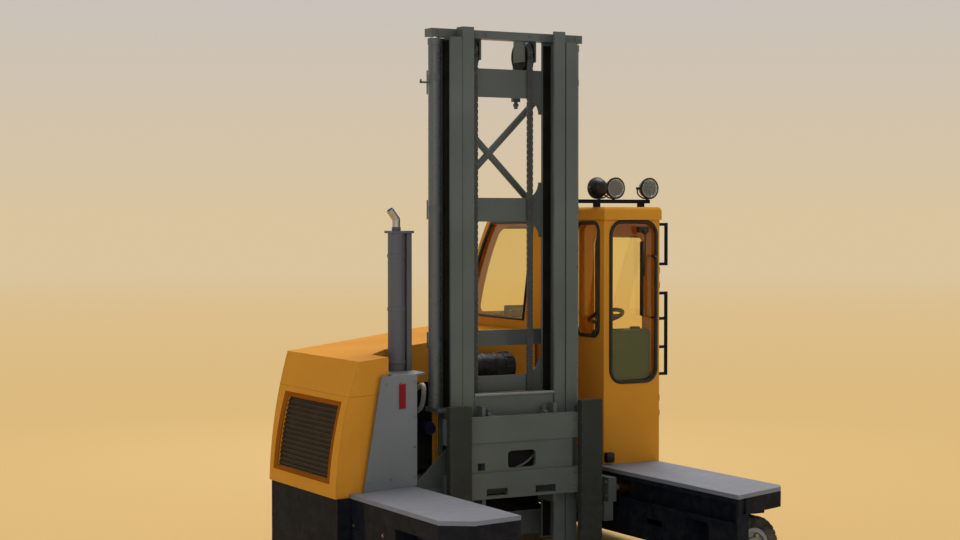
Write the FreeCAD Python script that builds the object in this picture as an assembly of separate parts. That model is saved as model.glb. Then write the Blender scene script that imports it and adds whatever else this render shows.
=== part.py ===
import FreeCAD, Part
import math
import os

# Four-way side loader truck with a combustion engine, in millimetres.
# X runs along the truck, from the engine end (-X) to the cab end (+X).
# -Y is the load side with the forks, +Y is the rear, +Z is up.
# The origin is on the ground under the middle of the truck's outline.

# Overall sizes
engine_end = -1320.0
front_y = -1540.0
rear_y = 1540.0
platform_top = 560.0
ground_clearance = 150.0
run_gap = 5.0
seat_gap = 0.3
roller_gap = 0.5

# Load arms and platforms
channel_half = 743.0
arm_outer = 1225.0
platform_thick = 25.0
arm_plate = 20.0
arm_back_y = 600.0
nose_skirt = 95.0
left_nose_corner = 160.0
left_nose_sweep = 110.0
right_nose_sweep = 170.0
rail_depth = 60.0
rail_height = 115.0
rail_flange = 15.0
oval_slot_length = 190.0
oval_slot_height = 38.0
oval_slot_y = -565.0
yoke_window_front = -1150.0
yoke_window_back = -880.0

# Wheels and their steering knuckles
load_tyre_radius = 190.0
load_tyre_width = 150.0
load_rim_radius = 118.0
load_wheel_x = 1050.0
load_wheel_y = -1125.0
drive_tyre_radius = 228.0
drive_tyre_width = 180.0
drive_rim_radius = 140.0
drive_wheel_x = 160.0
drive_wheel_y = 1060.0
wheel_room = 25.0
kingpin_radius = 40.0
knuckle_plate = 30.0

# Rear frame, under the hood and the cab
deck_plate = 25.0
frame_skirt = 25.0
hood_front_y = -320.0
chamfer_left_y = 670.0
chamfer_right_x = 210.0
cab_front_y = 90.0
cab_right = 1240.0

# Reach carriage, which slides along the arms
reach_stroke = 1050.0
reach_plate_in = 640.0
reach_plate_out = 700.0
reach_front_y = -220.0
reach_back_y = 560.0
reach_roller_ys = (-160.0, 500.0)
reach_cylinder_x = 640.0
reach_cylinder_z = 290.0
reach_bracket_depth = 45.0
reach_rod_gap = 15.0
reach_barrel_radius = 40.0
reach_rod_radius = 22.0

# Two-stage mast
mast_top = 3360.0
mast_bottom = 120.0
mast_front_y = -130.0
outer_half = 455.0
outer_lip = 375.0
outer_depth = 175.0
outer_recess = 25.0
inner_half = 370.0
inner_lip = 290.0
inner_depth = 165.0
mast_wall = 20.0
lift_stroke = 1600.0
tie_y = 180.0
tie_thick = 15.0
inner_plate_thick = 12.0
gusset_width = 115.0
gusset_height = 100.0
brace_radius = 22.0
brace_half = 375.0
brace_low = 2225.0
brace_high = 2965.0
lift_cylinder_x = 500.0
lift_cylinder_y = 0.0
lift_cylinder_foot = 985.0
lift_barrel_radius = 40.0
lift_rod_radius = 28.0
crosshead_depth = 90.0
sheave_x = 200.0
sheave_radius = 84.0
sheave_width = 60.0
sheave_z = 3214.0
sheave_y = 118.0
sheave_axle_radius = 20.0
chain_width = 40.0
chain_thick = 10.0

# Fork carriage and forks
fork_face_y = -290.0
fork_thick = 50.0
fork_width = 150.0
fork_outer = 545.0
fork_top = 1035.0
fork_length = 1200.0
fork_heel_z = 60.0
carriage_half = 550.0
carriage_low = 450.0
carriage_high = 958.0
carriage_bar = 40.0
lower_bar_height = 162.0
upper_bar_height = 160.0
shelf_half = 285.0
shelf_y = -120.0
shelf_top = 1085.0

# Engine cover
hood_wall = 25.0
hood_seam_z = 1130.0
hood_chamfer_x = engine_end - 60.0
hood_chamfer_y = chamfer_left_y - 20.0
hood_pin_out = 14.0
hood_pin_radius = 10.0
hood_hinge_starts = (420.0, 1350.0)
hood_nose_top_x = -1155.0
hood_nose_top_z = 1335.0
hood_nose_bulge = 35.0
hood_right_x = 520.0
hood_right_top_z = 1430.0
hood_front_wall_y = 500.0
grille_front_y = -190.0
grille_back_y = 560.0
grille_low_z = 640.0
grille_high_z = 1070.0
grille_slats = 14
side_panel_top = 1238.0
muffler_x = -710.0
muffler_y = 110.0
muffler_radius = 53.0
muffler_top = 2090.0
filter_radius = 87.0
filter_z = 1212.0

# Cab
cab_left = 540.0
cab_nose_left = 800.0
cab_step_y = 460.0
cab_wall = 40.0
cab_roof_z = 2210.0
cab_floor = 30.0
cab_shoulder_z = 1450.0
cab_rear_top_y = 1150.0
door_front_y = 150.0
door_back_y = 950.0
door_low_z = 620.0
door_high_z = 2150.0
door_pin_out = 12.0
door_pin_radius = 11.0
glass_thick = 6.0
console_back_y = 320.0
hand_wheel_centre = (1050.0, 440.0, 1500.0)
hand_wheel_axis = (0.0, 108.0, 242.0)
hand_wheel_radius = 112.0


def box(x0, x1, y0, y1, z0, z1):
    corner = FreeCAD.Vector(min(x0, x1), min(y0, y1), min(z0, z1))
    return Part.makeBox(abs(x1 - x0), abs(y1 - y0), abs(z1 - z0), corner)


def rod(start, end, radius):
    a = FreeCAD.Vector(*start)
    b = FreeCAD.Vector(*end)
    return Part.makeCylinder(radius, (b - a).Length, a, b - a)


def prism(points, direction):
    corners = [FreeCAD.Vector(*p) for p in points]
    wire = Part.makePolygon(corners + [corners[0]])
    return Part.Face(wire).extrude(FreeCAD.Vector(*direction))


def rounded(x0, x1, y0, y1, z0, z1, radius, axis):
    """A box whose four edges along the named axis are rounded."""
    block = box(x0, x1, y0, y1, z0, z1)
    edges = []
    for edge in block.Edges:
        way = edge.tangentAt(edge.FirstParameter)
        if abs(getattr(way, axis)) > 0.9:
            edges.append(edge)
    return block.makeFillet(radius, edges)


def fuse(shapes):
    result = shapes[0].multiFuse(shapes[1:]) if len(shapes) > 1 else shapes[0]
    return result.removeSplitter()


def mirrored(shape):
    return shape.mirror(FreeCAD.Vector(0, 0, 0), FreeCAD.Vector(1, 0, 0))


def both_sides(shape):
    return Part.makeCompound([shape, mirrored(shape)])


# Values worked out from the driving dimensions
deck_under = platform_top - platform_thick
frame_top = deck_under - seat_gap
frame_left = engine_end + 10.0
floor_top = deck_under + cab_floor
rail_top = deck_under - 30.0
rail_bottom = rail_top - rail_height
rail_middle = (rail_top + rail_bottom) / 2
rail_web = channel_half + rail_depth
reach_roller_radius = rail_height / 2 - roller_gap
load_swing = math.hypot(load_tyre_radius, load_tyre_width / 2) + wheel_room
nose_under = deck_under - nose_skirt
pocket_back_y = load_wheel_y + load_swing
mast_back_y = mast_front_y + outer_depth
fork_back_y = fork_face_y + fork_thick
knuckle_plate_rise = 12.0
knuckle_plate_high = 22.0
reach_barrel_y = reach_front_y + reach_bracket_depth + reach_rod_gap
reach_barrel_end = reach_barrel_y + reach_stroke + 50.0
chain_anchor_z = 2990.0
outer_web_in = outer_half - outer_recess - mast_wall
crosshead_low = mast_top - 60.0
crosshead_top = mast_top - 10.0
panel_base_y = -320.0


def arm_outline(side):
    """Plan of one platform: the left nose has a cut corner, the right one is swept."""
    if side < 0:
        front = [(channel_half, front_y + 60), (arm_outer - left_nose_corner, front_y),
                 (arm_outer, front_y + left_nose_sweep)]
    else:
        front = [(channel_half, front_y + 80), (arm_outer - 40, front_y + 80 + right_nose_sweep),
                 (arm_outer, front_y + 80 + right_nose_sweep + 60)]
    return front


def platform(side):
    """The deck plate: the left one ends at the grey panel's base, the right one at the cab."""
    end_y = panel_base_y if side < 0 else cab_front_y
    back = [(arm_outer, end_y - seat_gap), (channel_half, end_y - seat_gap)]
    points = [(side * x, y, deck_under) for x, y in arm_outline(side) + back]
    return prism(points, (0, 0, platform_thick))


def panel_base():
    """The deck plate that carries on under the grey panel beside the engine cover."""
    plan = [(-arm_outer, panel_base_y), (-arm_outer, -302), (-1150, -292), (-955, -220), (-955, 200),
            (-channel_half, 200), (-channel_half, panel_base_y)]
    return prism([(x, y, deck_under) for x, y in plan], (0, 0, platform_thick))


def load_arm(side):
    """A box beam with a roller rail on its inner side and a wheel pocket in its nose."""
    inner = channel_half
    x_out = arm_outer - 5
    plan = arm_outline(side) + [(arm_outer, arm_back_y), (inner, arm_back_y)]
    slab = prism([(x, y, nose_under) for x, y in plan], (0, 0, nose_skirt - seat_gap))
    core_plan = [(inner + rail_depth + arm_plate, front_y + 300), (x_out - arm_plate, front_y + 360),
                 (x_out - arm_plate, arm_back_y - arm_plate),
                 (inner + rail_depth + arm_plate, arm_back_y - arm_plate)]
    core = prism([(x, y, nose_under - 1) for x, y in core_plan], (0, 0, nose_skirt - 30))
    beam_front = pocket_back_y
    outer_wall = box(x_out - arm_plate, x_out, beam_front, arm_back_y, ground_clearance, nose_under)
    floor = box(inner + 10, x_out, beam_front, arm_back_y, ground_clearance, ground_clearance + 12)
    front_wall = box(inner + 10, x_out, beam_front, beam_front + arm_plate, ground_clearance, nose_under)
    back_wall = box(inner + 10, x_out, arm_back_y - arm_plate, arm_back_y, ground_clearance, nose_under)
    lower_web = box(inner + 10, inner + 10 + arm_plate, front_y + 90, arm_back_y,
                    ground_clearance, rail_bottom)
    rail_back = box(rail_web, rail_web + arm_plate, front_y + 90, arm_back_y, rail_bottom, deck_under - 1)
    lower_flange = box(inner, rail_web + arm_plate, front_y + 90, arm_back_y,
                       rail_bottom - rail_flange, rail_bottom)
    rail_room = box(inner - 1, rail_web, front_y + 90 + arm_plate, arm_back_y + 1, rail_bottom, rail_top)
    nose_plate = box(inner, rail_web + arm_plate, front_y + 90, front_y + 90 + arm_plate,
                     ground_clearance, nose_under + 5)
    walls = [outer_wall, floor, front_wall, back_wall, lower_web, lower_flange, nose_plate]
    arm = fuse([slab.cut(core), rail_back] + walls).cut(rail_room)
    slot = rounded(inner, inner + 60, oval_slot_y - oval_slot_length / 2, oval_slot_y + oval_slot_length / 2,
                   254, 254 + oval_slot_height, oval_slot_height / 2 - 0.5, "x")
    window = rounded(inner - 5, inner + 50, yoke_window_front, yoke_window_back,
                     ground_clearance + 40, rail_bottom - rail_flange - 20, 40, "x")
    arm = arm.cut(Part.makeCompound([slot, window]))
    pin_hub = rod((load_wheel_x, load_wheel_y, nose_under - 15),
                  (load_wheel_x, load_wheel_y, deck_under - 30),
                  kingpin_radius + 45)
    pin_bore = rod((load_wheel_x, load_wheel_y, nose_under - 20),
                   (load_wheel_x, load_wheel_y, deck_under - 35), kingpin_radius + seat_gap)
    arm = fuse([arm, pin_hub]).cut(pin_bore)
    return arm if side > 0 else mirrored(arm)


def knuckle(x, y, tyre_radius, tyre_width, pin_top, side):
    """A steering knuckle: kingpin, top plate, side leg and stub axle."""
    top = 2 * tyre_radius + knuckle_plate_rise
    leg_y = tyre_width / 2 + 12
    plate = box(x - 85, x + 85, y - 70, y + leg_y + knuckle_plate, top,
                top + knuckle_plate_high)
    pin = rod((x, y, top + 20), (x, y, pin_top), kingpin_radius)
    leg = box(x - 60, x + 60, y + leg_y, y + leg_y + knuckle_plate, tyre_radius - 70, top + 1)
    stub = rod((x, y - tyre_width / 2 + 20, tyre_radius), (x, y + leg_y + 1, tyre_radius), 30)
    return fuse([plate, pin, leg, stub])


def tyre(x, y, radius, width, rim_radius):
    """A solid rubber tyre with rounded shoulders."""
    body = rod((x, y - width / 2, radius), (x, y + width / 2, radius), radius)
    rims = [e for e in body.Edges if abs(e.Length - 2 * math.pi * radius) < 1]
    body = body.makeFillet(18, rims)
    bore = rod((x, y - width, radius), (x, y + width, radius), rim_radius)
    return body.cut(bore)


def rim(x, y, radius, width, rim_radius):
    """A dished wheel centre with a hub, which turns on the stub axle."""
    outer = rim_radius - seat_gap
    drum = rod((x, y - width / 2 + 6, radius), (x, y + width / 2 - 6, radius), outer)
    dish = rod((x, y - width / 2, radius), (x, y - width / 2 + 30, radius), outer - 25)
    hub = rod((x, y - width / 2 + 8, radius), (x, y - width / 2 + 40, radius), 55)
    back = rod((x, y + width / 2 - 45, radius), (x, y + width / 2, radius), outer - 25)
    bore = rod((x, y - width / 2 + 19.5, radius), (x, y + width, radius), 30.3)
    return fuse([drum.cut(dish).cut(back), hub]).cut(bore)


def rear_frame():
    """The welded rear frame: a deck plate with skirts, round the middle wheel."""
    left = frame_left
    plan = [(left, hood_front_y), (-arm_outer - 1, hood_front_y), (-arm_outer - 1, arm_back_y + 1),
            (arm_outer + 1, arm_back_y + 1), (cab_right, arm_back_y + 1), (cab_right, rear_y),
            (chamfer_right_x, rear_y), (left, chamfer_left_y)]
    top = frame_top
    outer = prism([(x, y, ground_clearance) for x, y in plan], (0, 0, top - ground_clearance))
    t = frame_skirt
    hollow_plan = [(left + t, arm_back_y + 1 + t), (cab_right - t, arm_back_y + 1 + t),
                   (cab_right - t, rear_y - t), (chamfer_right_x + 0.3 * t, rear_y - t),
                   (left + t, chamfer_left_y - 0.6 * t)]
    hollow = prism([(x, y, ground_clearance - 1) for x, y in hollow_plan],
                   (0, 0, top - deck_plate - ground_clearance + 1))
    frame = outer.cut(hollow)
    ways = []
    for side in (-1, 1):
        x = side * reach_cylinder_x
        ways.append(rod((x, arm_back_y - 5, reach_cylinder_z), (x, arm_back_y + 60, reach_cylinder_z),
                        reach_barrel_radius + run_gap))
    ways.append(box(-reach_plate_out - 30, reach_plate_out + 30, arm_back_y, arm_back_y + t + 5,
                    reach_cylinder_z + 60, top + 1))
    frame = frame.cut(Part.makeCompound(ways))
    hub_low = 2 * drive_tyre_radius + knuckle_plate_rise + knuckle_plate_high + run_gap
    hub = rod((drive_wheel_x, drive_wheel_y, hub_low), (drive_wheel_x, drive_wheel_y, top), 110)
    bore = rod((drive_wheel_x, drive_wheel_y, hub_low - 5), (drive_wheel_x, drive_wheel_y, top + 1),
               kingpin_radius + seat_gap)
    return fuse([frame, hub]).cut(bore)


def reach_frame():
    """Side plates, rear beam, mast feet and gussets of the sliding mast carriage."""
    low = rail_bottom - 25
    high = deck_under - 15
    parts = []
    for side in (-1, 1):
        x_in = side * reach_plate_in
        x_out = side * reach_plate_out
        parts.append(box(x_in, x_out, reach_front_y, reach_back_y, low, high))
        foot_x = side * (outer_half + seat_gap)
        parts.append(box(foot_x, x_in + side, mast_front_y, mast_back_y, low, high))
        gusset = [(foot_x, -70, high - 1), (side * (reach_plate_out - 5), -70, high - 1),
                  (foot_x, -70, high + 230)]
        parts.append(prism(gusset, (0, 20, 0)))
        parts.append(box(side * (reach_cylinder_x - 35), side * (reach_cylinder_x + 35), reach_front_y,
                         reach_front_y + reach_bracket_depth, reach_cylinder_z - 45, low + 1))
        for y in reach_roller_ys:
            parts.append(rod((x_out - side, y, rail_middle), (side * (channel_half + 2), y, rail_middle),
                             22))
    parts.append(box(-reach_plate_in, reach_plate_in, reach_back_y - 110, reach_back_y - 10, low, high))
    return fuse(parts)


def reach_rollers():
    rollers = []
    for side in (-1, 1):
        for y in reach_roller_ys:
            rollers.append(rod((side * (channel_half + 2.3), y, rail_middle),
                               (side * (rail_web - run_gap), y, rail_middle), reach_roller_radius))
    return Part.makeCompound(rollers)


def reach_barrels():
    """Barrels of the reach cylinders, hung from the rear frame."""
    y0 = reach_barrel_y
    y1 = reach_barrel_end
    x = reach_cylinder_x
    z = reach_cylinder_z
    barrel = rod((x, y0, z), (x, y1, z), reach_barrel_radius)
    gland = rod((x, y0, z), (x, y0 + 55, z), reach_barrel_radius + 6)
    bore = rod((x, y0 - 5, z), (x, y1 - 15, z), reach_rod_radius + roller_gap)
    lug = box(x - 40, x + 40, y1 - 2, y1 + 45, z - 40, frame_top - deck_plate - seat_gap)
    return both_sides(fuse([barrel, gland, lug]).cut(bore))


def reach_rods():
    y0 = reach_front_y + reach_bracket_depth + seat_gap
    x = reach_cylinder_x
    z = reach_cylinder_z
    return both_sides(rod((x, y0, z), (x, reach_barrel_end - 20, z), reach_rod_radius))


def outer_upright(side):
    """A rolled steel I-section, whose inner side guides the rollers of the inner mast."""
    top = crosshead_low - run_gap
    y0 = mast_front_y + mast_wall
    y1 = mast_back_y - mast_wall
    body = box(side * outer_lip, side * outer_half, mast_front_y, mast_back_y, mast_bottom, top)
    inside = box(side * (outer_lip - 1), side * outer_web_in, y0, y1, mast_bottom - 1, top + 1)
    outside = box(side * (outer_half - outer_recess), side * (outer_half + 1), y0, y1, mast_bottom - 1,
                  top + 1)
    return body.cut(inside).cut(outside)


cross_heights = ((2943.0, 3122.0), (2160.0, 2310.0), (1349.0, 1480.0), (1085.0, 1186.0))


def outer_ties():
    """Rear tie plates on feet behind the uprights, and the crossed tubes of the fixed mast."""
    parts = []
    spans = (cross_heights[0], cross_heights[1], cross_heights[2], (mast_bottom, mast_bottom + 180))
    for low, high in spans:
        plate = box(-outer_half, outer_half, tie_y, tie_y + tie_thick, low + 15, high - 15)
        feet = [box(side * (outer_half - mast_wall), side * outer_half, mast_back_y + seat_gap, tie_y + 1,
                    low + 15, high - 15) for side in (-1, 1)]
        parts.append(fuse([plate] + feet))
    back = tie_y + tie_thick
    brace_y = back + brace_radius - 2
    first = rod((-brace_half, brace_y, brace_low), (brace_half, brace_y, brace_high), brace_radius)
    second = rod((-brace_half, brace_y, brace_high), (brace_half, brace_y, brace_low), brace_radius)
    anchors = [box(x - 26, x + 26, back - 1, back + 27, chain_anchor_z - 60, chain_anchor_z - seat_gap)
               for x in (-sheave_x, sheave_x)]
    upper = fuse(parts[:2] + [first, second] + anchors)
    return Part.makeCompound([upper] + parts[2:])


def lift_barrels():
    """Barrels outside the fixed mast, each on a bracket on the upright's outer side."""
    x = lift_cylinder_x
    y = lift_cylinder_y
    low = lift_cylinder_foot
    top = crosshead_low - 2 * run_gap
    side_face = outer_half + seat_gap
    barrel = rod((x, y, low + 10), (x, y, top), lift_barrel_radius)
    gland = rod((x, y, top - 40), (x, y, top), lift_barrel_radius + 4)
    bore = rod((x, y, low + 60), (x, y, top + 1), lift_rod_radius + roller_gap)
    foot = box(side_face, x + lift_barrel_radius + 4, mast_front_y, mast_back_y, low, low + 27)
    clamp = box(side_face, x, mast_back_y - mast_wall + 1, mast_back_y - 1, top - 100, top - 60)
    return both_sides(fuse([barrel, gland, foot, clamp]).cut(bore))


def lift_rods():
    x = lift_cylinder_x
    y = lift_cylinder_y
    low = crosshead_low - lift_stroke - 150
    return both_sides(rod((x, y, low), (x, y, crosshead_low - seat_gap), lift_rod_radius))


def inner_upright(side):
    """A channel for the carriage rollers, with its own rollers outside."""
    low = mast_bottom + 10
    top = mast_top
    y0 = mast_front_y + run_gap
    y1 = y0 + inner_depth
    body = box(side * inner_lip, side * inner_half, y0, y1, low, top)
    hollow = box(side * (inner_lip - 1), side * (inner_half - mast_wall), y0 + mast_wall, y1 - mast_wall,
                 low - 1, top + 1)
    middle = (mast_front_y + mast_back_y) / 2
    radius = outer_depth / 2 - mast_wall - roller_gap
    wheels = [rod((side * (inner_half - 1), middle, z), (side * (outer_web_in - run_gap), middle, z),
                  radius) for z in (low + 90, low + 700)]
    seat = box(side * (inner_lip - 1), side * (inner_half + 1), -crosshead_depth / 2 - seat_gap, y1 + 1,
               crosshead_low - seat_gap, top + 1)
    return fuse([body.cut(hollow)] + wheels).cut(seat)


def inner_plates():
    """Cross plates with curved gussets between the inner uprights."""
    y0 = mast_front_y + run_gap + inner_depth + seat_gap
    y1 = y0 + inner_plate_thick
    start = inner_lip - gusset_width
    plates = []
    for low, high in (cross_heights[0], cross_heights[1], cross_heights[3]):
        plate = box(-inner_half, inner_half, y0, y1, low, high)
        edges = [(low, -1)] if high > crosshead_low - 200 else [(low, -1), (high, 1)]
        for side in (-1, 1):
            for edge, way in edges:
                far = edge + way * gusset_height
                corner = box(side * start, side * inner_half, y0, y1, edge - way, far)
                scoop = rod((side * start, y0 - 1, far), (side * start, y1 + 1, far), gusset_height)
                plate = plate.fuse(corner.cut(scoop))
        plates.append(plate.removeSplitter())
    return Part.makeCompound(plates)


def crosshead():
    """The bar across the mast's top that the lift rods push, with the sheave brackets behind it."""
    half = lift_cylinder_x + lift_barrel_radius + 5
    front = -crosshead_depth / 2
    back = crosshead_depth / 2
    parts = [box(-half, half, front, back, crosshead_low, crosshead_top)]
    for x in (-sheave_x, sheave_x):
        for edge in (-1, 1):
            mid = x + edge * (sheave_width / 2 + 11)
            parts.append(box(mid - 6, mid + 6, back - 15, sheave_y + 40, sheave_z - 40, crosshead_top))
        reach = sheave_width / 2 + 12
        parts.append(rod((x - reach, sheave_y, sheave_z), (x + reach, sheave_y, sheave_z),
                         sheave_axle_radius))
    return fuse(parts)


def sheaves():
    wheels = []
    for x in (-sheave_x, sheave_x):
        half = sheave_width / 2
        disc = rod((x - half, sheave_y, sheave_z), (x + half, sheave_y, sheave_z), sheave_radius + 14)
        groove = rod((x - chain_width / 2 - 2, sheave_y, sheave_z),
                     (x + chain_width / 2 + 2, sheave_y, sheave_z),
                     sheave_radius + 15)
        core = rod((x - chain_width / 2 - 2, sheave_y, sheave_z),
                   (x + chain_width / 2 + 2, sheave_y, sheave_z),
                   sheave_radius - chain_thick / 2)
        bore = rod((x - half - 1, sheave_y, sheave_z), (x + half + 1, sheave_y, sheave_z),
                   sheave_axle_radius + roller_gap)
        wheels.append(disc.cut(groove.cut(core)).cut(bore))
    return Part.makeCompound(wheels)


def chain_runs(y, low):
    runs = []
    for x in (-sheave_x, sheave_x):
        runs.append(box(x - chain_width / 2, x + chain_width / 2, y - chain_thick / 2 + 0.5,
                        y + chain_thick / 2 - 0.5, low, sheave_z))
    return Part.makeCompound(runs)


def carriage_frame():
    """Bars and plates that carry the forks, and the side plates with their rollers."""
    y0 = fork_back_y + seat_gap
    y1 = y0 + carriage_bar
    upper = box(-carriage_half, carriage_half, y0, y1, carriage_high - upper_bar_height, carriage_high)
    lower = box(-carriage_half, carriage_half, y0, y1, carriage_low, carriage_low + lower_bar_height)
    plate = box(-365, 365, y0 + 15, y1, carriage_low + 20, carriage_high - 20)
    hole = rounded(-105, 95, y0 - 1, y1 + 1, 632, 738, 25, "y")
    square = box(-318, -268, y0 - 1, y1 + 1, 626, 672)
    slots = [box(x, x + 148, y0 - 1, y1 + 1, carriage_low + 18, carriage_low + 62) for x in (-264.0, 86.0)]
    shelf = [box(-shelf_half, shelf_half, shelf_y, shelf_y + 12, carriage_high - 60, shelf_top),
             box(-shelf_half, shelf_half, shelf_y, 10, shelf_top - 12, shelf_top)]
    parts = [upper, lower, plate] + shelf
    y_roller = mast_front_y + run_gap + inner_depth / 2
    radius = inner_depth / 2 - mast_wall - roller_gap
    for side in (-1, 1):
        x_in = side * (inner_lip - 45)
        x_out = side * (inner_lip - 20)
        parts.append(box(x_in, x_out, y1 - 1, y_roller + 40, carriage_low + 5, carriage_high - 5))
        parts.append(box(x_in, x_out, y1 + 8, y_roller + 40, carriage_low - 60, carriage_high + 60))
        for z in (carriage_low + 20, carriage_high - 20):
            parts.append(rod((x_in + side, y_roller, z),
                             (side * (inner_half - mast_wall - run_gap), y_roller, z), radius))
    for x in (-sheave_x, sheave_x):
        parts.append(box(x - 30, x + 30, y1 - 1, sheave_y - sheave_radius, carriage_high - 60,
                         carriage_high))
    return fuse(parts).cut(Part.makeCompound([hole, square] + slots))


def fork(side):
    """A forged fork arm: shank with two hooks, heel and tapered blade."""
    x0 = side * (fork_outer - fork_width)
    x1 = side * fork_outer
    y0 = fork_face_y
    y1 = fork_back_y
    tip = y0 - fork_length
    shank = box(x0, x1, y0, y1, fork_heel_z + fork_thick - 1, fork_top)
    profile = [(x0, y1, fork_heel_z), (x0, y1, fork_heel_z + fork_thick), (x0, y0, fork_heel_z + fork_thick),
               (x0, tip, fork_heel_z + 15), (x0, tip, fork_heel_z), (x0, y0 - 400, fork_heel_z)]
    blade = prism(profile, (x1 - x0, 0, 0))
    hook_back = y1 + carriage_bar + 2 * seat_gap
    top_hook = box(x0, x1, y1 - 1, hook_back, carriage_high + seat_gap, carriage_high + 40)
    low_hook = box(x0, x1, y1 - 1, hook_back, carriage_low - 40, carriage_low - seat_gap)
    return fuse([shank, blade, top_hook, low_hook])


def hood_body(inset):
    """The whole engine cover as one closed form, pulled in by the wall."""
    nose = engine_end + inset
    top_x = hood_nose_top_x + inset
    top_z = hood_nose_top_z - inset
    right = hood_right_x - inset
    right_z = hood_right_top_z - inset
    base = deck_under if inset == 0 else deck_under - 1
    y0 = hood_front_y - 5
    a = FreeCAD.Vector(nose, y0, base)
    b = FreeCAD.Vector((nose + top_x) / 2 - hood_nose_bulge, y0, (base + top_z) / 2)
    c = FreeCAD.Vector(top_x, y0, top_z)
    d = FreeCAD.Vector(right, y0, right_z)
    e = FreeCAD.Vector(right, y0, base)
    edges = [Part.Arc(a, b, c).toShape(), Part.makeLine(c, d), Part.makeLine(d, e), Part.makeLine(e, a)]
    side = Part.Face(Part.Wire(edges)).extrude(FreeCAD.Vector(0, rear_y - y0, 0))
    t = inset
    slope = 0.55 * t
    plan = [(engine_end - 60, hood_front_y + t), (-1150, hood_front_y + 30 + t), (-920 - t, -205 + t),
            (-920 - t, 30), (-720 - slope, 260 + slope), (-340, 410 + t),
            (-200, hood_front_wall_y + t), (hood_right_x, hood_front_wall_y + t),
            (hood_right_x, rear_y - 10 - t),
            (chamfer_right_x + slope, rear_y - 10 - t), (hood_chamfer_x, hood_chamfer_y - 1.2 * t)]
    block = prism([(x, y, base) for x, y in plan], (0, 0, hood_right_top_z))
    return side.common(block)


def hood_hinge(start, end, way):
    """A hinge barrel and its leaf along the chamfered edge; way is up for the lid, down for the cover."""
    run = FreeCAD.Vector(chamfer_right_x - hood_chamfer_x, rear_y - 10 - hood_chamfer_y, 0)
    turn = FreeCAD.Rotation(FreeCAD.Vector(1, 0, 0), run)
    place = FreeCAD.Placement(FreeCAD.Vector(hood_chamfer_x, hood_chamfer_y, hood_seam_z), turn)
    barrel = rod((start, hood_pin_out, 0), (end, hood_pin_out, 0), hood_pin_radius)
    leaf = box(start, end, -1, hood_pin_out, way * seat_gap, way * 34)
    solid = barrel.fuse(leaf)
    solid.Placement = place
    return solid


def engine_hood():
    """The lid over the engine, above the seam."""
    shell = hood_body(0).cut(hood_body(hood_wall))
    above = box(engine_end - 50, hood_right_x + 50, front_y, rear_y + 50, hood_seam_z, 2000)
    return fuse([shell.common(above)] + [hood_hinge(at, at + 100, 1) for at in hood_hinge_starts])


def engine_enclosure():
    """The fixed lower cover, open towards the mast and at the grille."""
    shell = hood_body(0).cut(hood_body(hood_wall))
    below = box(engine_end - 50, hood_right_x + 50, front_y, rear_y + 50, deck_under, hood_seam_z - seat_gap)
    shell = shell.common(below)
    service = box(-960, -240, hood_front_y - 50, 480, deck_under - 1, hood_seam_z)
    side_wall = box(hood_right_x - hood_wall - 1, hood_right_x + 1, hood_front_wall_y + 40, rear_y - 60,
                    deck_under + 60, hood_seam_z)
    shell = shell.cut(Part.makeCompound([service, side_wall, grille_space(0)]))
    hinges = []
    for at in hood_hinge_starts:
        hinges.append(hood_hinge(at - 50, at - seat_gap, -1))
        hinges.append(hood_hinge(at + 100 + seat_gap, at + 150, -1))
    return fuse([shell] + hinges)


def grille_space(gap):
    return box(engine_end - 60, -1150, grille_front_y + gap, grille_back_y - gap, grille_low_z + gap,
               grille_high_z - gap)


def radiator_grille():
    """Slatted grille that follows the lean of the cover's end, set back in its opening."""
    sheet = hood_body(14).cut(hood_body(20)).common(grille_space(seat_gap))
    slats = hood_body(6).cut(hood_body(15))
    parts = [sheet]
    pitch = (grille_high_z - grille_low_z - 20) / grille_slats
    for i in range(grille_slats):
        z = grille_low_z + 14 + i * pitch
        parts.append(slats.common(box(engine_end - 60, -1150, grille_front_y + 1, grille_back_y - 1, z,
                                      z + 12)))
    return fuse(parts)


panel_left = (-1128.0, -305.0)
panel_right = (-713.0, -177.0)
panel_run = (panel_right[1] - panel_left[1]) / (panel_right[0] - panel_left[0])


def panel_y(x):
    return panel_left[1] + panel_run * (x - panel_left[0])


def side_panel():
    """Grey panel on the load side of the engine bay, with its top deck and return."""
    left_low = panel_left
    right = panel_right
    left_high = (-990, panel_y(-990))
    t = 12.0
    z0 = platform_top + seat_gap
    front = [(left_low[0], left_low[1], z0), (right[0], right[1], z0), (right[0], right[1], side_panel_top),
             (left_high[0], left_high[1], side_panel_top)]
    wall = prism(front, (-0.26 * t, 0.97 * t, 0))
    deck = [(left_high[0] + 5, left_high[1] + 5, side_panel_top - t),
            (right[0], right[1], side_panel_top - t),
            (-608, -80, side_panel_top - t), (-608, 180, side_panel_top - t),
            (right[0], 180, side_panel_top - t), (-850, 60, side_panel_top - t),
            (-880, -200, side_panel_top - t)]
    top = prism(deck, (0, 0, t))
    back = box(right[0] - t, right[0], right[1], 180, z0, side_panel_top)
    return fuse([wall, top, back])


def muffler():
    z0 = side_panel_top + seat_gap
    pot = rod((muffler_x, muffler_y, z0), (muffler_x, muffler_y, muffler_top), muffler_radius)
    cap = box(muffler_x - 55, muffler_x + 95, muffler_y - 55, muffler_y + 55, muffler_top - 1,
              muffler_top + 14)
    shield = box(muffler_x + 58, muffler_x + 92, muffler_y - 30, muffler_y + 30, z0, muffler_top)
    return fuse([pot, cap, shield])


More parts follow.
